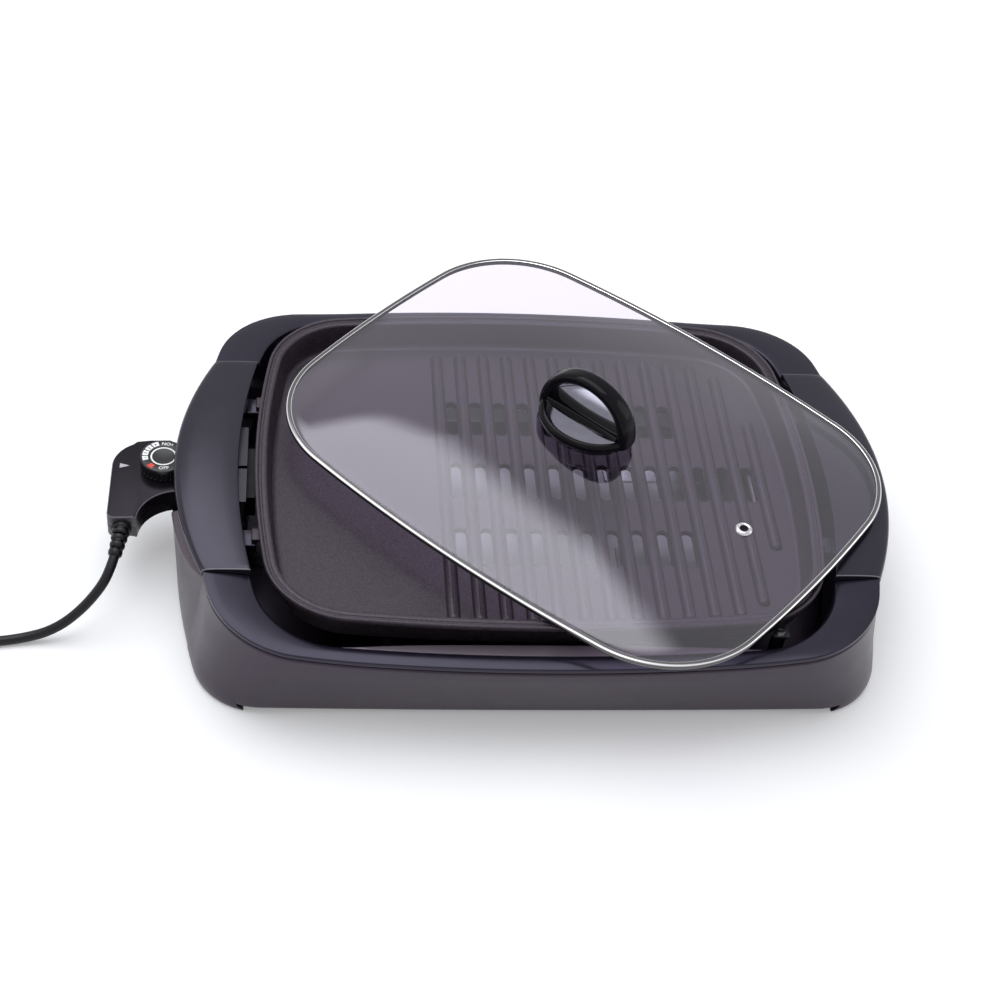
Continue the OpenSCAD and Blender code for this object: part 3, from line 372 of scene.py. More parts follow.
SHEET = steel("sheet_steel", (0.52, 0.52, 0.54), 0.34, (1, 12, 12))
GUARD = steel("guard_steel", (0.050, 0.047, 0.057), 0.30, (1, 14, 1))
TRAY = steel("tray_aluminium", (0.66, 0.67, 0.69), 0.42, (1, 6, 6), 620)
SENSOR = steel("sensor_steel", (0.60, 0.60, 0.62), 0.25)
ELEMENT = steel("element_steel", (0.16, 0.15, 0.15), 0.5)
BRASS = steel("plug_brass", (0.72, 0.56, 0.26), 0.25)
RIM = rim_with_painted_light()
VENT = steel("vent_steel", (0.72, 0.70, 0.72), 0.12, (1, 1, 1), 220)
PLATE_MAT = nonstick()
GLASS = clear_glass()
PRINT_WHITE = plastic("print_white", (0.80, 0.80, 0.80), 0.5, grain=0.05)
PRINT_GREY = plastic("print_grey", (0.42, 0.41, 0.44), 0.5, grain=0.05)
PRINT_RED = plastic("print_red", (0.62, 0.035, 0.02), 0.45, grain=0.05)
PRINT_BLACK = plastic("print_black", (0.01, 0.01, 0.01), 0.5, grain=0.05)

NODE_MATERIALS = [
    (TUB, "base_tub", "bottom_panel"),
    (BEZEL, "bezel_frame"),
    (HANDLE, "left_handle", "right_handle"),
    (FEET, "rubber_feet"),
    (SCREW, "base_screws", "handle_screws", "bracket_screws", "probe_screws"),
    (SCREW, "terminal_pins", "knob_screw", "dial_shaft"),
    (TRAY, "drip_tray"),
    (SHEET, "element_brackets", "thermowell", "contact_sleeves"),
    (ELEMENT, "heating_element"),
    (BLOCK, "terminal_block"),
    (GUARD, "terminal_guard"),
    (PLATE_MAT, "grill_plate"),
    (GLASS, "lid_glass"),
    (RIM, "lid_rim"),
    (KNOB, "lid_knob"),
    (SEAL, "knob_seal"),
    (VENT, "vent_grommet"),
    (PROBE, "probe_upper_shell", "probe_lower_shell"),
    (CERAMIC, "thermostat_switch"),
    (DIAL, "control_dial"),
    (SENSOR, "sensor_rod"),
    (CORD, "strain_relief", "cord_run", "cord_coil", "plug_body"),
    (TIE, "cord_tie"),
    (BRASS, "plug_blades"),
]
for material, *node_names in NODE_MATERIALS:
    for node_name in node_names:
        slots = NODES[node_name].data.materials
        slots.clear()
        slots.append(material)


# ---- cord, along the same points as in the part's source ----
CORD_POINTS = [
    (-294.4, -62, 51.8), (-297.6, -72, 46.4), (-302, -79.6, 40), (-309, -85.4, 32), (-318, -90, 23),
    (-329, -94, 14.4), (-341, -97, 8.4), (-354, -99, 5), (-368, -101, 3.6), (-384, -103, 3.6),
    (-400, -103.8, 3.6), (-416, -104, 4), (-432, -104, 4.2)]
COIL = Vector((-442, -60, 0))
TAIL = [(-485.5, -52, 11.3), (-485.5, -44, 11.3), (-485.5, -36, 11.3), (-485.5, -28, 11.3)]
CORD_D = 7
PLUG_PLACE = (-485.5, -30, 11.3)


# ---- sizes, in millimetres, as in the part's source ----
# An outline is half length, half depth, side radius, front radius and corner radius.
HALF_LENGTH, HANDLE_HALF, SEAM_HALF = 257, 106.3, 232.5
BEZEL_Z, BEZEL_RISE, SHELF_Z, SHELF_UNDER = 73, 8, 75, 70.5
TOP = [243, 183, 543.35, 1500, 70]
BOTTOM = [257, 164, 480, 12000, 50]
WELL = [212, 171, 492.85, 1500, 60]
PLATE = [200.3, 160, 665, 1400, 62]
LID = [202, 156.5, 990, 1200, 82]
PAN = [158, 107, 3000, 3000, 26]
WALL = 2.5
GRIP_LOW, GRIP_BULGE = 58, 17
FOOT_X, FOOT_Y = 203.5, 104
BASE_SCREW_X, BASE_SCREW_Y = 200.5, 140
LUG_Y = 67
FLOOR_TOP, FLOOR_LOW = 66.0, 61.5
LID_PLACE = (35, 16, -43)
LID_Z, LID_RIM, GLASS_LOW, GLASS_T, DOME = 88.8, 4.5, 89.5, 3.2, 13
VENT_X = 139
KNOB_A, KNOB_B, KNOB_Z = 37, 31, 106.5
PROBE_Z, PROBE_Y, RELIEF_X = 57, 4, -291.5
DIAL_X, DIAL_Y, DIAL_Z = -265, 8.4, 67.3


def mix(a, b, t):
    """The value, or the list of values, t of the way from a to b."""
    if hasattr(a, "__len__"):
        return [u * (1 - t) + v * t for u, v in zip(a, b)]
    return a * (1 - t) + b * t


def between(a, b, t):
    """The ring of points t of the way from ring a to ring b."""
    return [tuple(mix(p, q, t)) for p, q in zip(a, b)]


def inset(o, d):
    return [v - d for v in o]


def arc(cx, cy, r, a0, a1, n):
    angles = [a0 + (a1 - a0) * i / n for i in range(n)]
    return [(cx + r * math.cos(a), cy + r * math.sin(a)) for a in angles]


def on_circle(centre, r, degrees):
    a = math.radians(degrees)
    return centre[0] + r * math.cos(a), centre[1] + r * math.sin(a)


def mirrored(half):
    """A closed outline from its half on the positive side, given from the bottom up."""
    return [(-half[0][0], half[0][1])] + half + [(-u, z) for u, z in half[:0:-1]]


def four(x, y):
    """The same place in all four quarters."""
    return [(sx * x, sy * y) for sx in (-1, 1) for sy in (-1, 1)]


def superellipse(a, p):
    c, s = math.cos(a), math.sin(a)
    return math.copysign(abs(c) ** p, c), math.copysign(abs(s) ** p, s)


def quadrant(o, seam, fine):
    """Points from (half length, 0) to (0, half depth) of an outline made of three tangent arcs."""
    ax, by = o[0] - o[2], o[1] - o[3]
    ra, rb, d = o[2] - o[4], o[3] - o[4], math.hypot(o[0] - o[2], o[1] - o[3])
    t = (ra * ra - rb * rb + d * d) / (2 * d)
    h = math.sqrt(ra * ra - t * t)
    ux, uy = -ax / d, by / d
    cx, cy = ax + t * ux - h * uy, t * uy + h * ux
    side_end = math.atan2(cy, cx - ax)
    front_start = math.atan2(cy - by, cx)
    before = math.asin((seam - 0.4) / o[2]) if seam else side_end * 0.9
    at_seam = math.asin(seam / o[2]) if seam else side_end * 0.95
    side = arc(ax, 0, o[2], 0, before, 5 * fine) + arc(ax, 0, o[2], before, at_seam, 1)
    side += arc(ax, 0, o[2], at_seam, side_end, fine)
    corner = arc(cx, cy, o[4], side_end, front_start, 9 * fine)
    return side + corner + arc(0, by, o[3], front_start, math.pi / 2, 5 * fine) + [(0, o[1])]


def outline(o, seam=0, fine=3):
    """The whole outline; o is half length, half depth, side radius, front radius and corner radius."""
    q = quadrant(o, seam, fine)
    start, end = q[:-1], q[:0:-1]
    return (start + [(-x, y) for x, y in end] + [(-x, -y) for x, y in start] + [(x, -y) for x, y in end])


def seamed(o, d=0.0):
    """An outline inset by d, with points on both sides of the seams at the handles' ends."""
    return outline(inset(o, d), HANDLE_HALF)


def flat(points, z):
    return [(x, y, z) for x, y in points]


def shaped(points, height, dz=0):
    return [(x, y, height(x, y) + dz) for x, y in points]


def seam_share(y):
    return min(1, abs(y) / HANDLE_HALF)


def beside_handle(y):
    return abs(y) < HANDLE_HALF - 0.1


def bezel_z(x, y=0):
    return BEZEL_Z + BEZEL_RISE * (max(0, abs(x) - 120) / (SEAM_HALF - 120)) ** 2


def bezel_under(x, y):
    return SHELF_UNDER if beside_handle(y) else bezel_z(x) - 2.5


def grip_z(x, y):
    """Height of the wall's top under the finger grip and beside it."""
    if not beside_handle(y):
        return bezel_z(x) - 5
    return GRIP_LOW + (bezel_z(SEAM_HALF) - 5 - GRIP_LOW) * seam_share(y) ** 4


def grip_foot_z(x, y):
    if beside_handle(y):
        return grip_z(x, y) + 5 * (1 - seam_share(y) ** 2) + 0.2
    return bezel_z(x) - 3.1


def bulged(points, amount):
    """Moves the points between the seams outwards, by the amount in the middle and nothing at the seams."""
    return [(x + math.copysign(amount * (1 - seam_share(y) ** 2), x), y) for x, y in points]


# ---- base ----
def lower_ring(t, z, d=0.0):
    """Ring of the side wall, t of the way from the foot's outline to the top's."""
    own = mix(BOTTOM[0], TOP[0], t)
    points = between(seamed(BOTTOM, d), seamed(TOP, d), t)
    return flat(bulged(points, max(0, HALF_LENGTH + 3 * t - own)), z)


def grip_ring(d, dz):
    """Ring along the lip that the handles stand over."""
    return shaped(bulged(seamed(TOP, d), GRIP_BULGE), grip_z, dz)


def top_ring(d, height, dz=0.0):
    return shaped(seamed(TOP, d), height, dz)


def base_tub():
    outside = [(0, 5, 3), (0, 5.15, 2.1), (0, 5.7, 1.2), (0, 6.6, 0.55), (0.01, 7.8, 0.15), (0.02, 9),
               (0.13, 15.5), (0.25, 22), (0.43, 32), (0.6, 42)]
    lip = [(0, -2.4), (0, -1.3), (0.2, -0.6), (0.7, -0.1), (1.3, 0.1)]
    inside = [(0.6, 42, WALL), (0.25, 22, WALL), (0, 11.5, WALL), (0, 9.5, 7), (0, 7.5, 7), (0, 7.5, 4.3),
              (0, 5, 4.3)]
    wall = [lower_ring(*place) for place in outside]
    edge = [grip_ring(*place) for place in lip]
    rings = wall + [between(wall[-1], edge[0], 0.5)] + edge
    rings += [top_ring(0, grip_foot_z, -0.1), top_ring(0, grip_foot_z, 0.3), top_ring(0, bezel_under),
              top_ring(WALL, bezel_under), top_ring(WALL, grip_foot_z, -2), grip_ring(WALL, -3)]
    rings += [lower_ring(*place) for place in inside]
    tub = skin("tub", rings, TUB, tube=True)
    cut(tub, box_object("port", (-267, -28, 44), (-227, 36, 80.5)))
    # Painted highlight: the upward faces of the ledge under each handle take the lighter ledge colour, where
    # the handle shades them.
    recolour(tub, LEDGE_PAINTED_LIGHT, lambda c, n: n.z > 0.6 and abs(c.x) > 226 and c.z > 57 and abs(c.y) < HANDLE_HALF)
    return join("tub_walls", [tub, corner_feet()])


def corner_feet():
    """The four corners of the wall, which are carried down to the floor between short bevels."""
    outside = [(0, 0.3, 2.4), (0, 0.5, 1.6), (0, 1.3, 0.9), (0, 2.8, 0.4), (0, 5, 0.15), (0.01, 7, 0.04),
               (0.02, 9, -0.03), (0.13, 15.5, -0.03), (0.25, 22, -0.02)]
    inside = [(0.26, 22.4, 0.4), (0.13, 15.5, 2), (0, 5, 5), (0, 0.3, 5)]
    wall = skin("wall", [lower_ring(*place) for place in outside + inside], TUB, tube=True)
    front_bevel = [(FOOT_X, -2), (FOOT_X + 2, 2), (FOOT_X + 6, 6), (FOOT_X + 9.5, 30)]
    side_bevel = [(FOOT_Y, -2), (FOOT_Y + 4, 6), (FOOT_Y + 7, 30)]
    front = [[(x, y, z) for x, z in mirrored(front_bevel)] for y in (-190, 190)]
    side = [[(x, y, z) for y, z in mirrored(side_bevel)] for x in (-290, 290)]
    return cut(wall, skin("front", front), skin("side", side))


def bottom_panel():
    panel = skin("panel", [lower_ring(0, 5, 5), lower_ring(0, 5.3, 4.6), lower_ring(0, 7.5, 4.5)], TUB)
    screws = four(BASE_SCREW_X, BASE_SCREW_Y)
    screw_hole = [(3.7, 4), (3.7, 7), (1.9, 7.01), (1.9, 25)]
    cutters = [box_object("louvre", (x - 2, -40, 0), (x + 2, 40, 20)) for x in range(-70, 71, 20)]
    cutters += [lathe("screw_hole", screw_hole, 24, centre=(x, y, 0)) for x, y in screws]
    cut(panel, *cutters)
    tray_post = [(6.6, 6.5), (6.1, 9), (6, 31), (5.4, 32)]
    bracket_post = [(5.6, 6.5), (5.1, 9), (5, 45.4), (4.4, 46), (1.6, 46), (1.6, 36)]
    boss = [(7.6, 6.5), (7.1, 8), (7, 11), (6.4, 11.5), (1.9, 11.5), (1.9, 9)]
    brackets = [(x, y) for x in (-106, 165) for y in (-125, 125)]
    groups = [(tray_post, four(110, 66)), (bracket_post, brackets), (boss, screws)]
    posts = [lathe("post", profile, 32, TUB, (x, y, 0)) for profile, places in groups for x, y in places]
    return join("floor_panel", [panel] + posts)


def bezel_frame():
    low = BEZEL_Z - 26
    crown = [(0, 0, 0, -1.2), (0.1, 0, 0, -0.4), (0.35, 0, 0, -0.1), (0.8, 0, 0, 0.03), (0, 0, 0.25, 0.6),
             (0, 0, 0.5, 0.9), (0, 0, 0.75, 0.95), (0, -2.2, 1, 0.65), (0, -1.2, 1, 0.45), (0, -0.5, 1, -0.1),
             (0, -0.2, 1, -1)]
    skirt = [(1.6, low + 6), (2, low + 0.6), (1.6, low), (-0.1, low), (-0.5, low + 0.6)]
    rings = [top_ring(0, bezel_under)]
    for d_top, d_well, t, dz in crown:
        rings.append(shaped(between(seamed(TOP, d_top), seamed(WELL, d_well), t), bezel_z, dz))
    rings += [flat(seamed(WELL, d), z) for d, z in skirt]
    rings.append(shaped(seamed(WELL, -3.1), bezel_under))
    frame_piece = skin("frame", rings, BEZEL, tube=True)
    cutters = [box_object("shelf", (x - 80, -HANDLE_HALF, SHELF_Z), (x + 80, HANDLE_HALF, 95))
               for x in (-HALF_LENGTH, HALF_LENGTH)]
    cutters.append(box_object("terminal_gap", (-218, -38, 42), (-204, 46, 93)))
    cut(frame_piece, *cutters)
    boss = [(5, 11.6), (5, 60), (5.2, bezel_z(BASE_SCREW_X) - 2)]
    parts = [frame_piece, front_ledge()]
    for lug, (x, y) in zip(four(203, LUG_Y), four(BASE_SCREW_X, BASE_SCREW_Y)):
        parts.append(pad("lug", lug, (5, 7.5), 66.5, 73.5, BEZEL))
        parts.append(lathe("boss", boss, 32, BEZEL, (x, y, 0)))
    return join("bezel", parts)


def front_ledge():
    """The narrow ledge along the front of the well, made lighter with a painted highlight colour."""
    half = 140
    rings = []
    for i in range(49):
        x = half * (i / 24 - 1)
        wall = -WELL[1] + x * x / (2 * WELL[3]) + 0.6
        lip = -160.6 - 3.4 * (x / half) ** 4
        rings.append([(x, wall, 69), (x, lip, 69.6), (x, lip, 71.4), (x, lip - 0.2, 71.8), (x, lip - 0.7, 72),
                      (x, mix(wall, lip, 0.5), 72.4), (x, wall, 72.2)])
    return skin("ledge", rings, LEDGE_PAINTED_LIGHT)


def pad(name, centre, half, z0, z1, material, r=0.8):
    """A box with rounded edges, from its centre and half sizes in plan and its two heights."""
    (x, y), (dx, dy) = centre, half
    steps = 3
    quarter = [i * math.pi / 2 / steps for i in range(steps + 1)]
    levels = [(z0 + r * (1 - math.sin(a)), r * (1 - math.cos(a))) for a in reversed(quarter)]
    levels += [(z1 - r * (1 - math.sin(a)), r * (1 - math.cos(a))) for a in quarter]
    corners = [(x + dx - r, y + dy - r), (x - dx + r, y + dy - r), (x - dx + r, y - dy + r),
               (x + dx - r, y - dy + r)]
    rings = []
    for z, d in levels:
        ring = []
        for turn, (cx, cy) in enumerate(corners):
            for i in range(steps + 1):
                a = (turn + i / steps) * math.pi / 2
                ring.append((cx + (r - d) * math.cos(a), cy + (r - d) * math.sin(a), z))
        rings.append(ring)
    return skin(name, rings, material)


def handle(side):
    """The hollow handle moulding: a crowned top, a rounded outer lip and an open underside."""
    ends = [(105.8, 0.9), (105.7, 0.4), (105.4, 0.12), (105.0, 0.02)]
    stations = [(-y, drop) for y, drop in ends] + [(101 * (i / 30 - 1), 0) for i in range(61)] + ends[::-1]
    inner_edge = [(0, -1.2), (0.1, -0.6), (0.4, -0.2), (0.9, -0.03), (1.6, 0.04)]
    crown = [(0.28, 0.2), (0.5, 0.22), (0.72, 0.05)]
    lip = [(-4.6, -0.35), (-2.6, -0.8), (-1.3, -1.5), (-0.6, -2.4), (-0.15, -3.5), (0, -4.6), (-0.15, -5.3),
           (-0.6, -5.75), (-1.3, -5.8), (-3, -5.2), (-5, -3.6)]
    rings = []
    for y, drop in stations:
        bow = (y / HANDLE_HALF) ** 2
        top = 84.6 - 1.4 * bow
        a = 212 - 11.6 * bow
        b = HALF_LENGTH - 23.7 * bow
        profile = [(a, SHELF_Z)] + [(a + dx, top + dz) for dx, dz in inner_edge]
        profile += [(mix(a, b, t), top + dz) for t, dz in crown] + [(b + dx, top + dz) for dx, dz in lip]
        profile += [(a + 5, top - 3.2), (a + 3, SHELF_Z)]
        rings.append([(side * x, y, z - drop) for x, z in profile])
    bar = skin("bar", rings, HANDLE, smooth=40)
    # Painted highlight: the top faces at the handle's two ends take the light edge colour.
    recolour(bar, EDGE_PAINTED_HIGHLIGHT, lambda c, n: n.z > 0.2 and abs(c.y) > 105 and c.z > 78)
    screw_post = [(4.9, SHELF_Z), (4.5, 77), (4.5, 81.6)]
    posts = [lathe("post", screw_post, 32, HANDLE, (side * 229, y, 0)) for y in (-62, 62)]
    return join("handle", [bar] + posts)


# ---- grill plate ----
# A rib is its place along the plate and its half length; a slot is its middle.
RIB_STEP = 18
RIB_XS = [-64.8 + RIB_STEP * i for i in range(13)]
RIBS = [(x, 138.5 - 0.0004 * x ** 2 - (9.8 if i == 12 else 0)) for i, x in enumerate(RIB_XS)]
RIBS.append((169.2, 66.5))
SLOTS = [(-55.8 + RIB_STEP * j, row * 66) for j in range(13) for row in (-1, 0, 1) if row == 0 or j < 10]


def stadium(x, y, half, r, z, steps=14):
    """Points round a slot along Y; half is how far the centre of each end circle is from the middle."""
    angles = [math.pi * i / steps for i in range(steps + 1)]
    back = [(x + r * math.cos(a), y + half + r * math.sin(a), z) for a in angles]
    return back + [(x - r * math.cos(a), y - half - r * math.sin(a), z) for a in angles]


def rib(x, half):
    """A rib with a round crown and a small fillet at its foot."""
    height, r = 4.14, 4.5
    levels = [(r + 0.35, -0.3), (r + 0.35, 0.0), (r + 0.06, 0.12), (r - 0.04, 0.5)]
    for k in range(1, 10):
        a = math.radians(10 * k)
        z = height - r + r * math.sin(a)
        if z > 0.6:
            levels.append((r * math.cos(a), z))
    levels.append((0.15, height))
    rings = [stadium(x, 0, half - r, d, FLOOR_TOP + z, 16) for d, z in levels]
    return skin("rib", rings, PLATE_MAT, smooth=60)


def grill_plate():
    outside = [(14.5, FLOOR_LOW), (10.5, 61.6), (9.2, 62.4), (8.2, 64), (7.6, 65.5), (5.6, 82.6), (5, 83.5),
               (3.6, 84), (1, 84.2), (0.3, 84.5), (0, 85.2)]
    rim = [(0, 87.6), (0.18, 88.1), (0.55, 88.4), (1.1, 88.5), (1.8, 88.45), (2.2, 88.2), (2.5, 87.6),
           (2.8, 87.2), (3.3, 87.1), (4, 87.15), (4.5, 87.6), (5.1, 87.8), (6.6, 87.8), (7.5, 87.65)]
    inside = [(8.2, 87.1), (8.7, 86.2), (11.1, 69.6), (11.6, 67.9), (12.5, 66.7), (13.6, 66.15),
              (15, FLOOR_TOP)]
    rings = [flat(outline(inset(PLATE, d), 0, 4), z) for d, z in outside + rim + inside]
    plate = skin("plate", rings, PLATE_MAT, smooth=30)
    slot_wall = [(4, 60), (4, 65.3), (4.15, 65.7), (4.45, 66.01), (4.45, 67)]
    cutters = [skin("slot", [stadium(x, y, 14, r, z) for r, z in slot_wall]) for x, y in SLOTS]
    cut(plate, join("slots", cutters), smooth=30)
    parts = [plate] + [rib(x, half) for x, half in RIBS]
    parts += [pad("ear", ear, (7, 5.5), 73.8, 77.3, PLATE_MAT) for ear in four(194.3, LUG_Y)]
    return join("plate_casting", parts)


# ---- lid ----
def place_lid(ob):
    """Moves a piece from the lid's own axes to where the lid lies."""
    x, y, turn = LID_PLACE
    ob.data.transform(Matrix.Translation((x * MM, y * MM, 0)) @ Matrix.Rotation(math.radians(turn), 4, "Z"))
    return ob


def dome_z(share):
    """Height of the dome at a share of the way from the middle to the edge."""
    b = max(0.0, min(1.0, share / 0.968) - 0.2) / 0.8
    return DOME * (1 - b * b)


def lid_glass():
    edge = outline(inset(LID, 1), 0, 4)
    shares = [0.02, 0.06, 0.1, 0.15] + [0.2 + 0.032 * i for i in range(25)] + [0.984, 1]

    def ring(s, z):
        return [(x * s, y * s, z + dome_z(s)) for x, y in edge]
    rings = [ring(s, GLASS_LOW) for s in shares] + [ring(s, GLASS_LOW + GLASS_T) for s in reversed(shares)]
    glass = skin("glass", rings, GLASS, smooth=40)
    knob_hole = lathe("knob_hole", [(4, 80), (4, 120)], 32)
    vent_hole = lathe("vent_hole", [(4.5, 80), (4.5, 120)], 32, centre=(VENT_X, 0, 0))
    return place_lid(cut(glass, knob_hole, vent_hole, smooth=40))


def lid_rim():
    h = LID_RIM
    profile = [(3.4, 0), (1.6, 0), (0.75, 0.25), (0.22, 0.85), (0, 1.7), (0, h - 1.7), (0.22, h - 0.85),
               (0.75, h - 0.25), (1.6, h), (3.2, h), (3.75, h - 0.08), (4, h - 0.3), (4, h - 0.6),
               (0.9, h - 0.6), (0.9, 0.6), (3.4, 0.6)]
    rings = [flat(outline(inset(LID, d), 0, 4), LID_Z + z) for d, z in profile]
    return place_lid(skin("rim", rings, RIM, tube=True, smooth=40))


def vent_grommet():
    """A rolled eyelet in the hole beside the knob."""
    top = GLASS_LOW + GLASS_T + dome_z(0.69)
    profile = [(3.0, -3.6), (3.0, 0.7), (3.15, 1.2), (3.6, 1.55), (4.3, 1.7), (5.0, 1.5), (5.7, 1.0),
               (6.1, 0.4), (6.2, -0.3), (4.3, -0.3), (4.3, -3.6)]
    rings = [[(VENT_X + r * math.cos(a), r * math.sin(a), top + z) for a in turns(48)] for r, z in profile]
    return place_lid(skin("grommet", rings, VENT, tube=True))


def knob_foot():
    """The oval foot, whose dished top is shinier than its side."""
    profile = [(0, 0.85), (0.5, 0.885), (1.3, 0.925), (2.6, 0.955), (4.4, 0.98), (6.4, 0.995), (8.2, 1),
               (9.6, 0.992), (10.6, 0.972), (11.2, 0.945), (11.45, 0.91), (11.3, 0.87), (10.8, 0.8),
               (10.1, 0.7), (9.3, 0.56), (8.7, 0.4), (8.4, 0.2), (8.35, 0.05)]
    rings = [[(k * KNOB_A * math.cos(a), k * KNOB_B * math.sin(a), z) for a in turns(96)] for z, k in profile]
    foot = skin("foot", rings, KNOB, smooth=50)
    return recolour(foot, DISH, lambda c, n: n.z > 0.5 and math.hypot(c.x / KNOB_A, c.y / KNOB_B) < 0.9)


def knob_bow():
    """The finger loop that is joined to both ends of the foot."""
    rings = []
    steps = 72
    for i in range(steps + 1):
        a = math.pi * (1 - i / steps)
        rise = math.sin(a) ** 0.85 if i not in (0, steps) else 0
        c = (34.75 * math.cos(a), 6 + 35.75 * rise)
        n = (math.cos(a), math.sin(a))
        w = mix(17, 13.6, math.sin(a)) / 2
        ring = []
        for angle in turns(40):
            u, v = superellipse(angle, 0.55)
            out = u * 3.9 + 0.35 * (1 - v * v) * (1 if u > 0 else -0.4)
            ring.append((c[0] + n[0] * out, -v * w, c[1] + n[1] * out))
        rings.append(ring)
    return skin("bow", rings, KNOB, smooth=50)


def knob_ridge():
    """The low ridge between the ends of the bow, across the dish."""
    rings = []
    for i in range(41):
        x = 31 * (i / 20 - 1)
        top = 12 + 1.8 * (x / 31) ** 2
        w = 6.2 + 2.2 * (x / 31) ** 2
        half = [(w + 2.6, 8), (w + 1.2, 8.9), (w, top - 1.6), (w - 0.5, top - 0.6), (w - 1.4, top),
                (2, top + 0.25)]
        rings.append([(x, -y, z) for y, z in half] + [(x, y, z) for y, z in reversed(half)])
    return skin("ridge", rings, KNOB, smooth=50)


def lid_knob():
    knob = join("knob", [knob_foot(), knob_bow(), knob_ridge()])
    knob.data.transform(Matrix.Translation((0, 0, KNOB_Z * MM)))
    return place_lid(knob)


# ---- thermostat probe ----
def probe_plan(d):
    """The housing's outline from above, inset by d."""
    corner = [(-301.7 + d, -38), (-301.35 + d * 0.9, -39.6), (-300.2 + d * 0.7, -41.5 + d * 0.7),
              (-298.4 + d * 0.3, -42.75 + d * 0.9), (-296.7, -43 + d), (-285, -43 + d + 0.6)]
    hollow = [on_circle((-252.5, -44.6), 28.7 + d, 176 - 5.5 * i) for i in range(15)]
    back = [(-248, -16 + d), (-228 - d, -16 + d), (-228 - d, 26 - d), (-246, 26 - d), (-252, 29 - d),
            (-262, 36 - d), (-276, 35.5 - d), (-285.3, 34 - d)]
    bow = [on_circle((-277, 9), 24.7 - d, 118 + 6 * i) for i in range(11)]
    return corner + hollow + back + bow


def probe_shell(name, z0, z1):
    """Half of the housing from the joint at z0 to the outer face at z1, with a rounded edge."""
    s = 1 if z1 > z0 else -1
    edge_r = 1.3
    rings = [flat(probe_plan(d), z0 + s * dz) for d, dz in ((0.25, 0), (0.25, 0.25), (0, 0.45))]
    for k in range(7):
        a = math.radians(15 * k)
        rings.append(flat(probe_plan(edge_r * (1 - math.cos(a))), z1 - s * edge_r * (1 - math.sin(a))))
    shell = skin(name, rings, PROBE, smooth=50)
    # Painted highlight: the end face that turns to the front takes a lighter colour, as if lit.
    recolour(shell, PROBE_END_PAINTED_LIGHT, lambda c, n: n.y < -0.7 and c.y < -38)
    # Painted highlight: on the upper half, the bevel round the top face takes the light edge colour.
    return recolour(shell, EDGE_PAINTED_HIGHLIGHT, lambda c, n: 0.25 < n.z < 0.8 and c.z > PROBE_Z + 5)


def rod(name, a, b, r, material, steps=32):
    a, b = Vector(a), Vector(b)
    along = (b - a).normalized()
    side = along.orthogonal().normalized()
    up = along.cross(side)
    spokes = [side * math.cos(w) + up * math.sin(w) for w in turns(steps)]
    return skin(name, [[tuple(c + r * spoke) for spoke in spokes] for c in (a, b)], material)


def relief_hole():
    """Cutter for the strain relief's root."""
    return rod("relief_hole", (RELIEF_X, -45, PROBE_Z), (RELIEF_X, -32, PROBE_Z), 6.3, PROBE)


def rod_holes():
    """Cutters for the sensor rod and for the contact sleeves on both sides of it."""
    holes = [rod("sensor_hole", (-262, PROBE_Y, PROBE_Z), (-210, PROBE_Y, PROBE_Z), 3.03, PROBE)]
    for y in (PROBE_Y - 13, PROBE_Y + 13):
        holes.append(rod("sleeve_hole", (-240, y, PROBE_Z), (-210, y, PROBE_Z), 4.22, PROBE))
    return holes


def upper_shell():
    shell = probe_shell("upper", PROBE_Z, PROBE_Z + 10)
    cavity = box_object("cavity", (-278, -11, 50), (-244, 19, 63.5))
    shaft_hole = lathe("shaft_hole", [(3.1, 60), (3.1, 80)], 32, centre=(DIAL_X, DIAL_Y, 0))
    cut(shell, cavity, shaft_hole, relief_hole(), *rod_holes(), smooth=40)
    back, tip = -296, -289.4
    plan = [(back, DIAL_Y - 2.3), (tip - 0.4, DIAL_Y - 0.25), (tip, DIAL_Y), (tip - 0.4, DIAL_Y + 0.25),
            (back, DIAL_Y + 2.3)]
    pointer = skin("pointer", [flat(plan, 66.9), flat(plan, 67.05)], PRINT_GREY)
    return join("upper_half", [shell, pointer])


def lower_shell():
    shell = probe_shell("lower", PROBE_Z, PROBE_Z - 10)
    nose = pad("nose", (-224, PROBE_Y), (5, 19), 50, 64, PROBE, 1.2)
    cut(nose, box_object("half", (-231, -20, PROBE_Z), (-228, 28, 80)))
    cutters = [box_object("cavity", (-278, -11, 50.5), (-244, 19, 66)), relief_hole()]
    screw_hole = [(3.6, 40), (3.6, 50), (1.9, 50.01), (1.9, 58)]
    for x, y in ((-293, 20), (-293, -22), (-252, 23)):
        cutters.append(lathe("screw_hole", screw_hole, 24, centre=(x, y, 0)))
    cut(shell, *cutters, smooth=40)
    for ob in (shell, nose):
        cut(ob, *rod_holes(), smooth=40)
    return join("lower_half", [shell, nose])


def relief_stations(ribs):
    """Places along the bush: how far along, which gap it is in (or None) and the share of the radius."""
    stations = [(0.0, 0, 1.0)]
    for i in range(ribs):
        start, end = i / ribs, (i + 1) / ribs
        for f, bulge in ((0.02, 0.90), (0.10, 1.0), (0.35, 1.05), (0.6, 1.02), (0.74, 0.92)):
            stations.append((mix(start, end, f), None, bulge))
        for f in (0.76, 0.97):
            if i < ribs - 1:
                stations.append((mix(start, end, f), i, 0.62))
    return stations


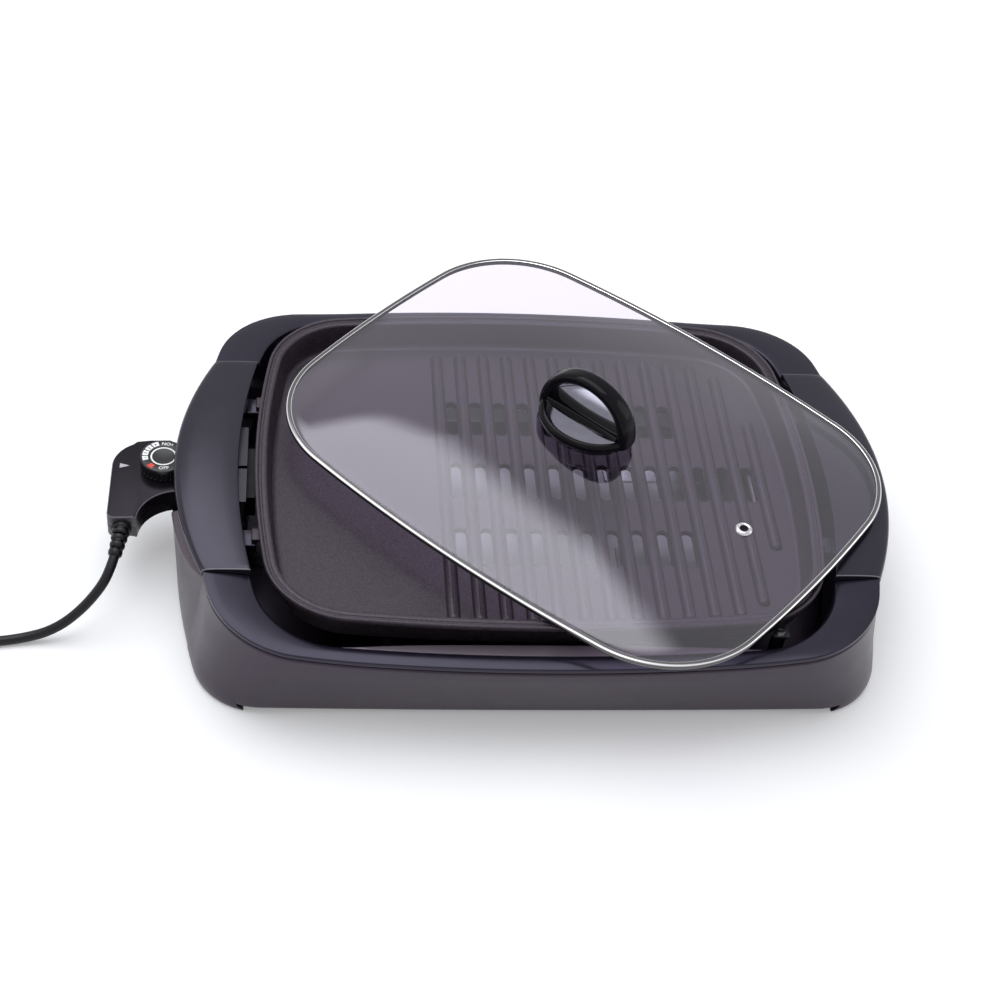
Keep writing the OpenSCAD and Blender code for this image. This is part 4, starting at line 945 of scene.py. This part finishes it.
def strain_relief():
    """Bush of bulging rings that are cut through from alternate sides, tapering along its curved axis."""
    a = Vector((RELIEF_X, -43, 57))
    b = Vector((-292, -52, 56.5))
    c = Vector((-295.5, -66, 50))
    rings = []
    for t, gap, share in relief_stations(5):
        q = (1 - t) ** 2 * a + 2 * t * (1 - t) * b + t * t * c
        along = ((1 - t) * (b - a) + t * (c - b)).normalized()
        side = along.cross(Vector((0, 0, 1))).normalized()
        up = side.cross(along)
        full = mix(6.5, 4.5, t)
        ring = []
        for w in turns(36):
            r = full * share
            if gap is not None and abs(math.sin(w) if gap % 2 else math.cos(w)) < 0.5:
                r = full * 0.93
            ring.append(tuple(q + r * (side * math.cos(w) + up * math.sin(w))))
        rings.append(ring)
    bush = skin("bush", rings, CORD, smooth=40)
    root = rod("root", (RELIEF_X, -34, PROBE_Z), (RELIEF_X, -43.2, PROBE_Z), 6, CORD)
    flange = rod("flange", (RELIEF_X, -43.1, PROBE_Z), (RELIEF_X, -44.4, PROBE_Z), 6.9, CORD)
    return join("relief", [bush, root, flange])


# ---- dial ----
def sector(name, r0, r1, a0, a1, z0, z1, material, steps=10):
    """A printed patch between two radii and two angles, in degrees, round the dial's axis."""
    angles = [mix(a0, a1, i / steps) for i in range(steps + 1)]
    plan = [on_circle((DIAL_X, DIAL_Y), r1, a) for a in angles]
    plan += [on_circle((DIAL_X, DIAL_Y), r0, a) for a in reversed(angles)]
    return skin(name, [flat(plan, z0), flat(plan, z1)], material)


def printed(text, size, r, angle, z, material):
    """Printed characters whose tops point at the dial's axis."""
    data = bpy.data.curves.new("print", "FONT")
    data.body = text
    data.size = size * MM
    data.align_x = "CENTER"
    data.align_y = "CENTER"
    data.extrude = 0.02 * MM
    data.offset = 0.06 * MM
    data.resolution_u = 4
    ob = add_object("print", data)
    deps = bpy.context.evaluated_depsgraph_get()
    deps.update()
    mesh = bpy.data.meshes.new_from_object(ob.evaluated_get(deps))
    bpy.data.objects.remove(ob)
    mesh.materials.clear()
    mesh.materials.append(material)
    place = Vector((*on_circle((DIAL_X, DIAL_Y), r, angle), z)) * MM
    turn = Matrix.Rotation(math.radians(angle) + math.pi / 2, 4, "Z")
    mesh.transform(Matrix.Translation(place) @ turn)
    return add_object("print", mesh)


def dial_body():
    """The dial's body, with flutes round its lower half."""
    flutes = 30
    flute_low, flute_high = 1.4, 6.4
    profile = [(0.1, 0), (15.2, 0), (15.9, 0.3), (16.35, 0.8), (16.5, 1.2), (16.5, flute_low),
               (16.5, flute_high), (16.5, 6.6), (16.5, 8.9), (16.35, 9.5), (16.0, 9.85), (15.5, 10),
               (9.9, 10), (9.55, 9.9), (9.4, 9.6), (9.1, 9.5), (0.1, 9.5)]
    rings = []
    for r, z in profile:
        ring = []
        for a in turns(10 * flutes):
            groove = 0.75 * max(0, math.cos(flutes * a)) ** 1.5 if flute_low <= z <= flute_high else 0
            here = r - groove
            ring.append((DIAL_X + here * math.cos(a), DIAL_Y + here * math.sin(a), DIAL_Z + z))
        rings.append(ring)
    body = skin("body", rings, DIAL, smooth=30)
    return cut(body, lathe("shaft_hole", [(3, 60), (3, 73.2)], 32, centre=(DIAL_X, DIAL_Y, 0)), smooth=30)


def control_dial():
    top = DIAL_Z + 10
    low, high = top - 0.02, top + 0.04
    parts = [dial_body(), sector("ring", 8.0, 9.15, 0, 360, top - 0.55, top - 0.44, PRINT_WHITE, 96)]
    for a0, a1 in ((108, 129), (133, 154), (158, 179), (183, 200)):
        parts.append(sector("block", 10.9, 14.9, a0, a1, low, high, PRINT_WHITE))
    for i, a in enumerate((118.5, 143.5, 168.5, 191.5)):
        parts.append(printed(str(4 - i), 2.9, 12.9, a, top + 0.06, PRINT_BLACK))
    parts.append(sector("block", 10.9, 14.9, 222, 240, low, high, PRINT_RED))
    parts.append(printed("OFF", 4.0, 12.4, 274, top + 0.03, PRINT_WHITE))
    parts.append(printed("ON", 4.0, 12.4, 84, top + 0.03, PRINT_WHITE))
    parts.append(sector("mark", 12.0, 13.4, 62, 66, low, high, PRINT_WHITE))
    return join("dial", parts)


# ---- tray, plug, tie and cord ----
def drip_tray():
    """A shallow pan with a rolled edge and four raised panels."""
    profile = [(8.5, 32), (7.2, 32.1), (6.3, 32.8), (4.2, 42), (3.6, 42.8), (2.8, 43), (0.6, 43), (0.1, 43.2),
               (0, 43.5), (0.1, 43.8), (0.6, 44), (3.4, 44), (4.6, 43.7), (5.4, 42.6), (7.4, 34), (8.2, 33.2),
               (9.4, 33)]
    parts = [skin("pan", [flat(outline(inset(PAN, d), 0, 2), z) for d, z in profile], TRAY)]
    parts += [pad("panel", place, (38, 28), 31.2, 34, TRAY, 1.0) for place in four(98, 62)]
    return join("tray", parts)


def plug_body():
    """The plug's moulding: a ribbed neck that is round, then a rounded oblong."""
    x, y, z = PLUG_PLACE
    neck = [(0, 4.3), (0.5, 4.6), (3, 4.75), (3.2, 4.1), (5, 4.2), (5.2, 5), (8, 5.1), (8.2, 4.4), (10, 4.5),
            (10.2, 5.3), (13, 5.5), (13.2, 4.8), (15, 4.9), (15.2, 5.7), (20, 6)]
    head = [(21, 7, 6.6), (22.2, 9, 8), (24, 10.6, 9), (27, 12, 10), (31, 12.6, 10.4), (36, 12.7, 10.5),
            (42, 12.9, 10.7), (48, 13.3, 10.9), (52, 13.5, 11), (53.5, 13.45, 10.95), (54.6, 13.2, 10.75),
            (55, 12.6, 10.2)]
    rings = []
    for dy, w, h in [(dy, r, r) for dy, r in neck] + head:
        power = 1 if dy < 20 else mix(1, 0.6, min(1, (dy - 20) / 7))
        corners = [superellipse(a, power) for a in turns(48)]
        rings.append([(x + w * u, y + dy, z - h * v) for u, v in corners])
    return skin("plug", rings, CORD, smooth=40)


def tie_loop(d):
    """The strap's section round the coil's four runs, offset outwards by d."""
    half, r = 8.2 + d, 3.0 + d
    points = []
    for turn, (sx, sz) in enumerate(((1, 1), (-1, 1), (-1, -1), (1, -1))):
        for i in range(7):
            a = (turn + i / 6) * math.pi / 2
            across = COIL.x + 40 + sx * (half - r) + r * math.cos(a)
            points.append((across, 7.8 + sz * (half - 0.95 - r) + r * math.sin(a)))
    return points


def cord_tie():
    """A strap of soft plastic round the coil."""
    inner, outer = tie_loop(-0.2), tie_loop(0.55)
    near, far = COIL.y - 4.5, COIL.y + 4.5
    sections = [(inner, near), (outer, near), (outer, far), (inner, far)]
    return skin("strap", [[(x, y, z) for x, z in loop] for loop, y in sections], TIE, tube=True)


def ease(t):
    t = min(1, max(0, t))
    return t * t * (3 - 2 * t)


def coil_points():
    """The coil's runs in turn: bottom outer, bottom inner, top inner and top outer, going clockwise."""
    points = []
    for a in range(-90, -1261, -10):
        r = 43.5 - CORD_D * ease((-340 - a) / 110) + CORD_D * ease((-1020 - a) / 110)
        z = 4.3 + CORD_D * ease((-700 - a) / 110)
        points.append((*on_circle(COIL, r, a), z))
    return points


def catmull(points, n):
    """A smooth path through the points, with n steps from each to the next."""
    out = []
    p = [Vector(q) for q in points]
    p = [2 * p[0] - p[1]] + p + [2 * p[-1] - p[-2]]
    for i in range(1, len(p) - 2):
        for k in range(n):
            t = k / n
            a, b, c, d = p[i - 1:i + 3]
            out.append(0.5 * (2 * b + (c - a) * t + (2 * a - 5 * b + 4 * c - d) * t * t
                              + (3 * b - a - 3 * c + d) * t ** 3))
    return out + [p[-2]]


def cord_curve(points):
    data = bpy.data.curves.new("cord", "CURVE")
    data.dimensions = "3D"
    data.bevel_depth = CORD_D / 2 * MM
    data.bevel_resolution = 6
    data.use_fill_caps = True
    spline = data.splines.new("POLY")
    spline.points.add(len(points) - 1)
    for q, p in zip(spline.points, points):
        q.co = (*(Vector(p) * MM), 1)
    spline.use_smooth = True
    data.materials.append(CORD)
    return add_object("cord", data)


# ---- pieces ----
def piece(ob, name, body, slot, *nodes):
    """Names a finished object, puts it on the body it rides and hides the nodes it replaces. The slot is not
    used.
    """
    ob.name = name
    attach(ob, body)
    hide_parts(*nodes)
    return ob


piece(base_tub(), "tub", "base", "charcoal_plastic", "base_tub")
piece(bottom_panel(), "floor_panel", "base", "charcoal_plastic", "bottom_panel")
piece(bezel_frame(), "bezel", "base", "bezel_plastic", "bezel_frame")
piece(handle(-1), "handle_left", "base", "handle_plastic", "left_handle")
piece(handle(1), "handle_right", "base", "handle_plastic", "right_handle")
piece(drip_tray(), "tray", "base", "tray_aluminium", "drip_tray")
piece(grill_plate(), "plate", "plate", "nonstick_coating", "grill_plate")
piece(lid_glass(), "glass", "lid", "lid_glass", "lid_glass")
piece(lid_rim(), "rim", "lid", "rim_steel", "lid_rim")
piece(vent_grommet(), "grommet", "lid", "rim_steel", "vent_grommet")
piece(lid_knob(), "knob", "lid", "knob_plastic", "lid_knob")
piece(upper_shell(), "shell_upper", "probe", "probe_plastic", "probe_upper_shell")
piece(lower_shell(), "shell_lower", "probe", "probe_plastic", "probe_lower_shell")
piece(strain_relief(), "relief", "probe", "cord_rubber", "strain_relief")
plug = piece(plug_body(), "plug", "probe", "cord_rubber", "plug_body")
tie = piece(cord_tie(), "tie", "probe", "tie_plastic", "cord_tie")
piece(control_dial(), "dial", "dial", "dial_plastic", "control_dial")

cord_path = catmull(CORD_POINTS + coil_points() + TAIL, 3)
cord = cord_curve(cord_path)
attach(cord, "probe")
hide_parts("cord_run", "cord_coil")

# ---- stage ----
# Strength of the sky for scattered rays, for mirror images and where it is seen directly.
SCATTERED_SKY, MIRRORED_SKY, SEEN_SKY = 0.55, 0.85, 1.0
world = bpy.data.worlds.new("world")
bpy.context.scene.world = world
world.use_nodes = True
sky = Nodes(world.node_tree)
background = sky.tree.nodes["Background"]
background.inputs["Color"].default_value = (0.96, 0.97, 1.0, 1)
rays = sky.node("ShaderNodeLightPath").outputs
unseen = sky.blend(rays["Is Glossy Ray"], SCATTERED_SKY, MIRRORED_SKY)
seen = sky.maths("MAXIMUM", rays["Is Camera Ray"], rays["Is Transmission Ray"])
sky.link(sky.blend(seen, unseen, SEEN_SKY), background.inputs["Strength"])

FLOOR_GLOW = 0.2
FLOOR_HALF = 4000
floor_mat = Mat("floor", rough=0.9, spec=0.1)
floor_mat.color(floor_mat.ramp(floor_mat.noise(4, 3, 0.5), 0.3, 0.7, (0.86, 0.86, 0.87), (0.88, 0.88, 0.89)))
rays = floor_mat.node("ShaderNodeLightPath").outputs
shown = floor_mat.maths("MAXIMUM", rays["Is Camera Ray"], rays["Is Glossy Ray"])
shown = floor_mat.maths("MAXIMUM", shown, rays["Is Transmission Ray"])
floor_mat.link(floor_mat.maths("MULTIPLY", shown, FLOOR_GLOW), floor_mat.shader.inputs["Emission Strength"])
floor_mat.shader.inputs["Emission Color"].default_value = (1, 1, 1, 1)
floor_corners = [(x * FLOOR_HALF, y * FLOOR_HALF, 0) for x, y in ((-1, -1), (1, -1), (1, 1), (-1, 1))]
floor = mesh_object("floor", floor_corners, [(0, 1, 2, 3)], floor_mat.material)


def soft_box(name, place, size, radiance, spin=0.0, target=None, fade=(0, 0), color=(1, 1, 1)):
    """An area light of a given radiance; fade is the share of the box that softens its right and far edge."""
    data = bpy.data.lights.new(name, "AREA")
    data.shape = "RECTANGLE"
    data.size, data.size_y = size
    data.energy = math.pi * size[0] * size[1] * radiance
    data.color = color
    if any(fade):
        data.use_nodes = True
        lamp = Nodes(data.node_tree)
        split = lamp.node("ShaderNodeSeparateXYZ")
        lamp.link(lamp.node("ShaderNodeNewGeometry").outputs["Parametric"], split.inputs[0])
        shares = []
        for i, share in enumerate(fade):
            shares.append(lamp.ramp(split.outputs[i], 1.0, 1.0 - share, 0.0, 1.0))
            shares[i].node.interpolation_type = "SMOOTHSTEP"
        lamp.link(lamp.maths("MULTIPLY", *shares), lamp.tree.nodes["Emission"].inputs["Strength"])
    ob = add_object(name, data)
    ob.location = place
    ob.rotation_euler = (0, 0, math.radians(spin))
    if target:
        ob.rotation_euler = (Vector(target) - Vector(place)).to_track_quat("-Z", "Y").to_euler()


CEILING = (0.94, 0.97, 1)
soft_box("ceiling_box", (-0.56, 0.78, 2.2), (2.1, 2.6), 2.8, spin=32, fade=(0.16, 0.12), color=CEILING)
soft_box("left_box", (-2.2, 0.0, 1.0), (0.8, 1.6), 0.8, target=(0, 0, 0.05))
soft_box("right_box", (2.3, 0.1, 1.0), (0.8, 1.6), 1.0, target=(0, 0, 0.05))

view = bpy.context.scene.view_settings
view.view_transform = "Standard"
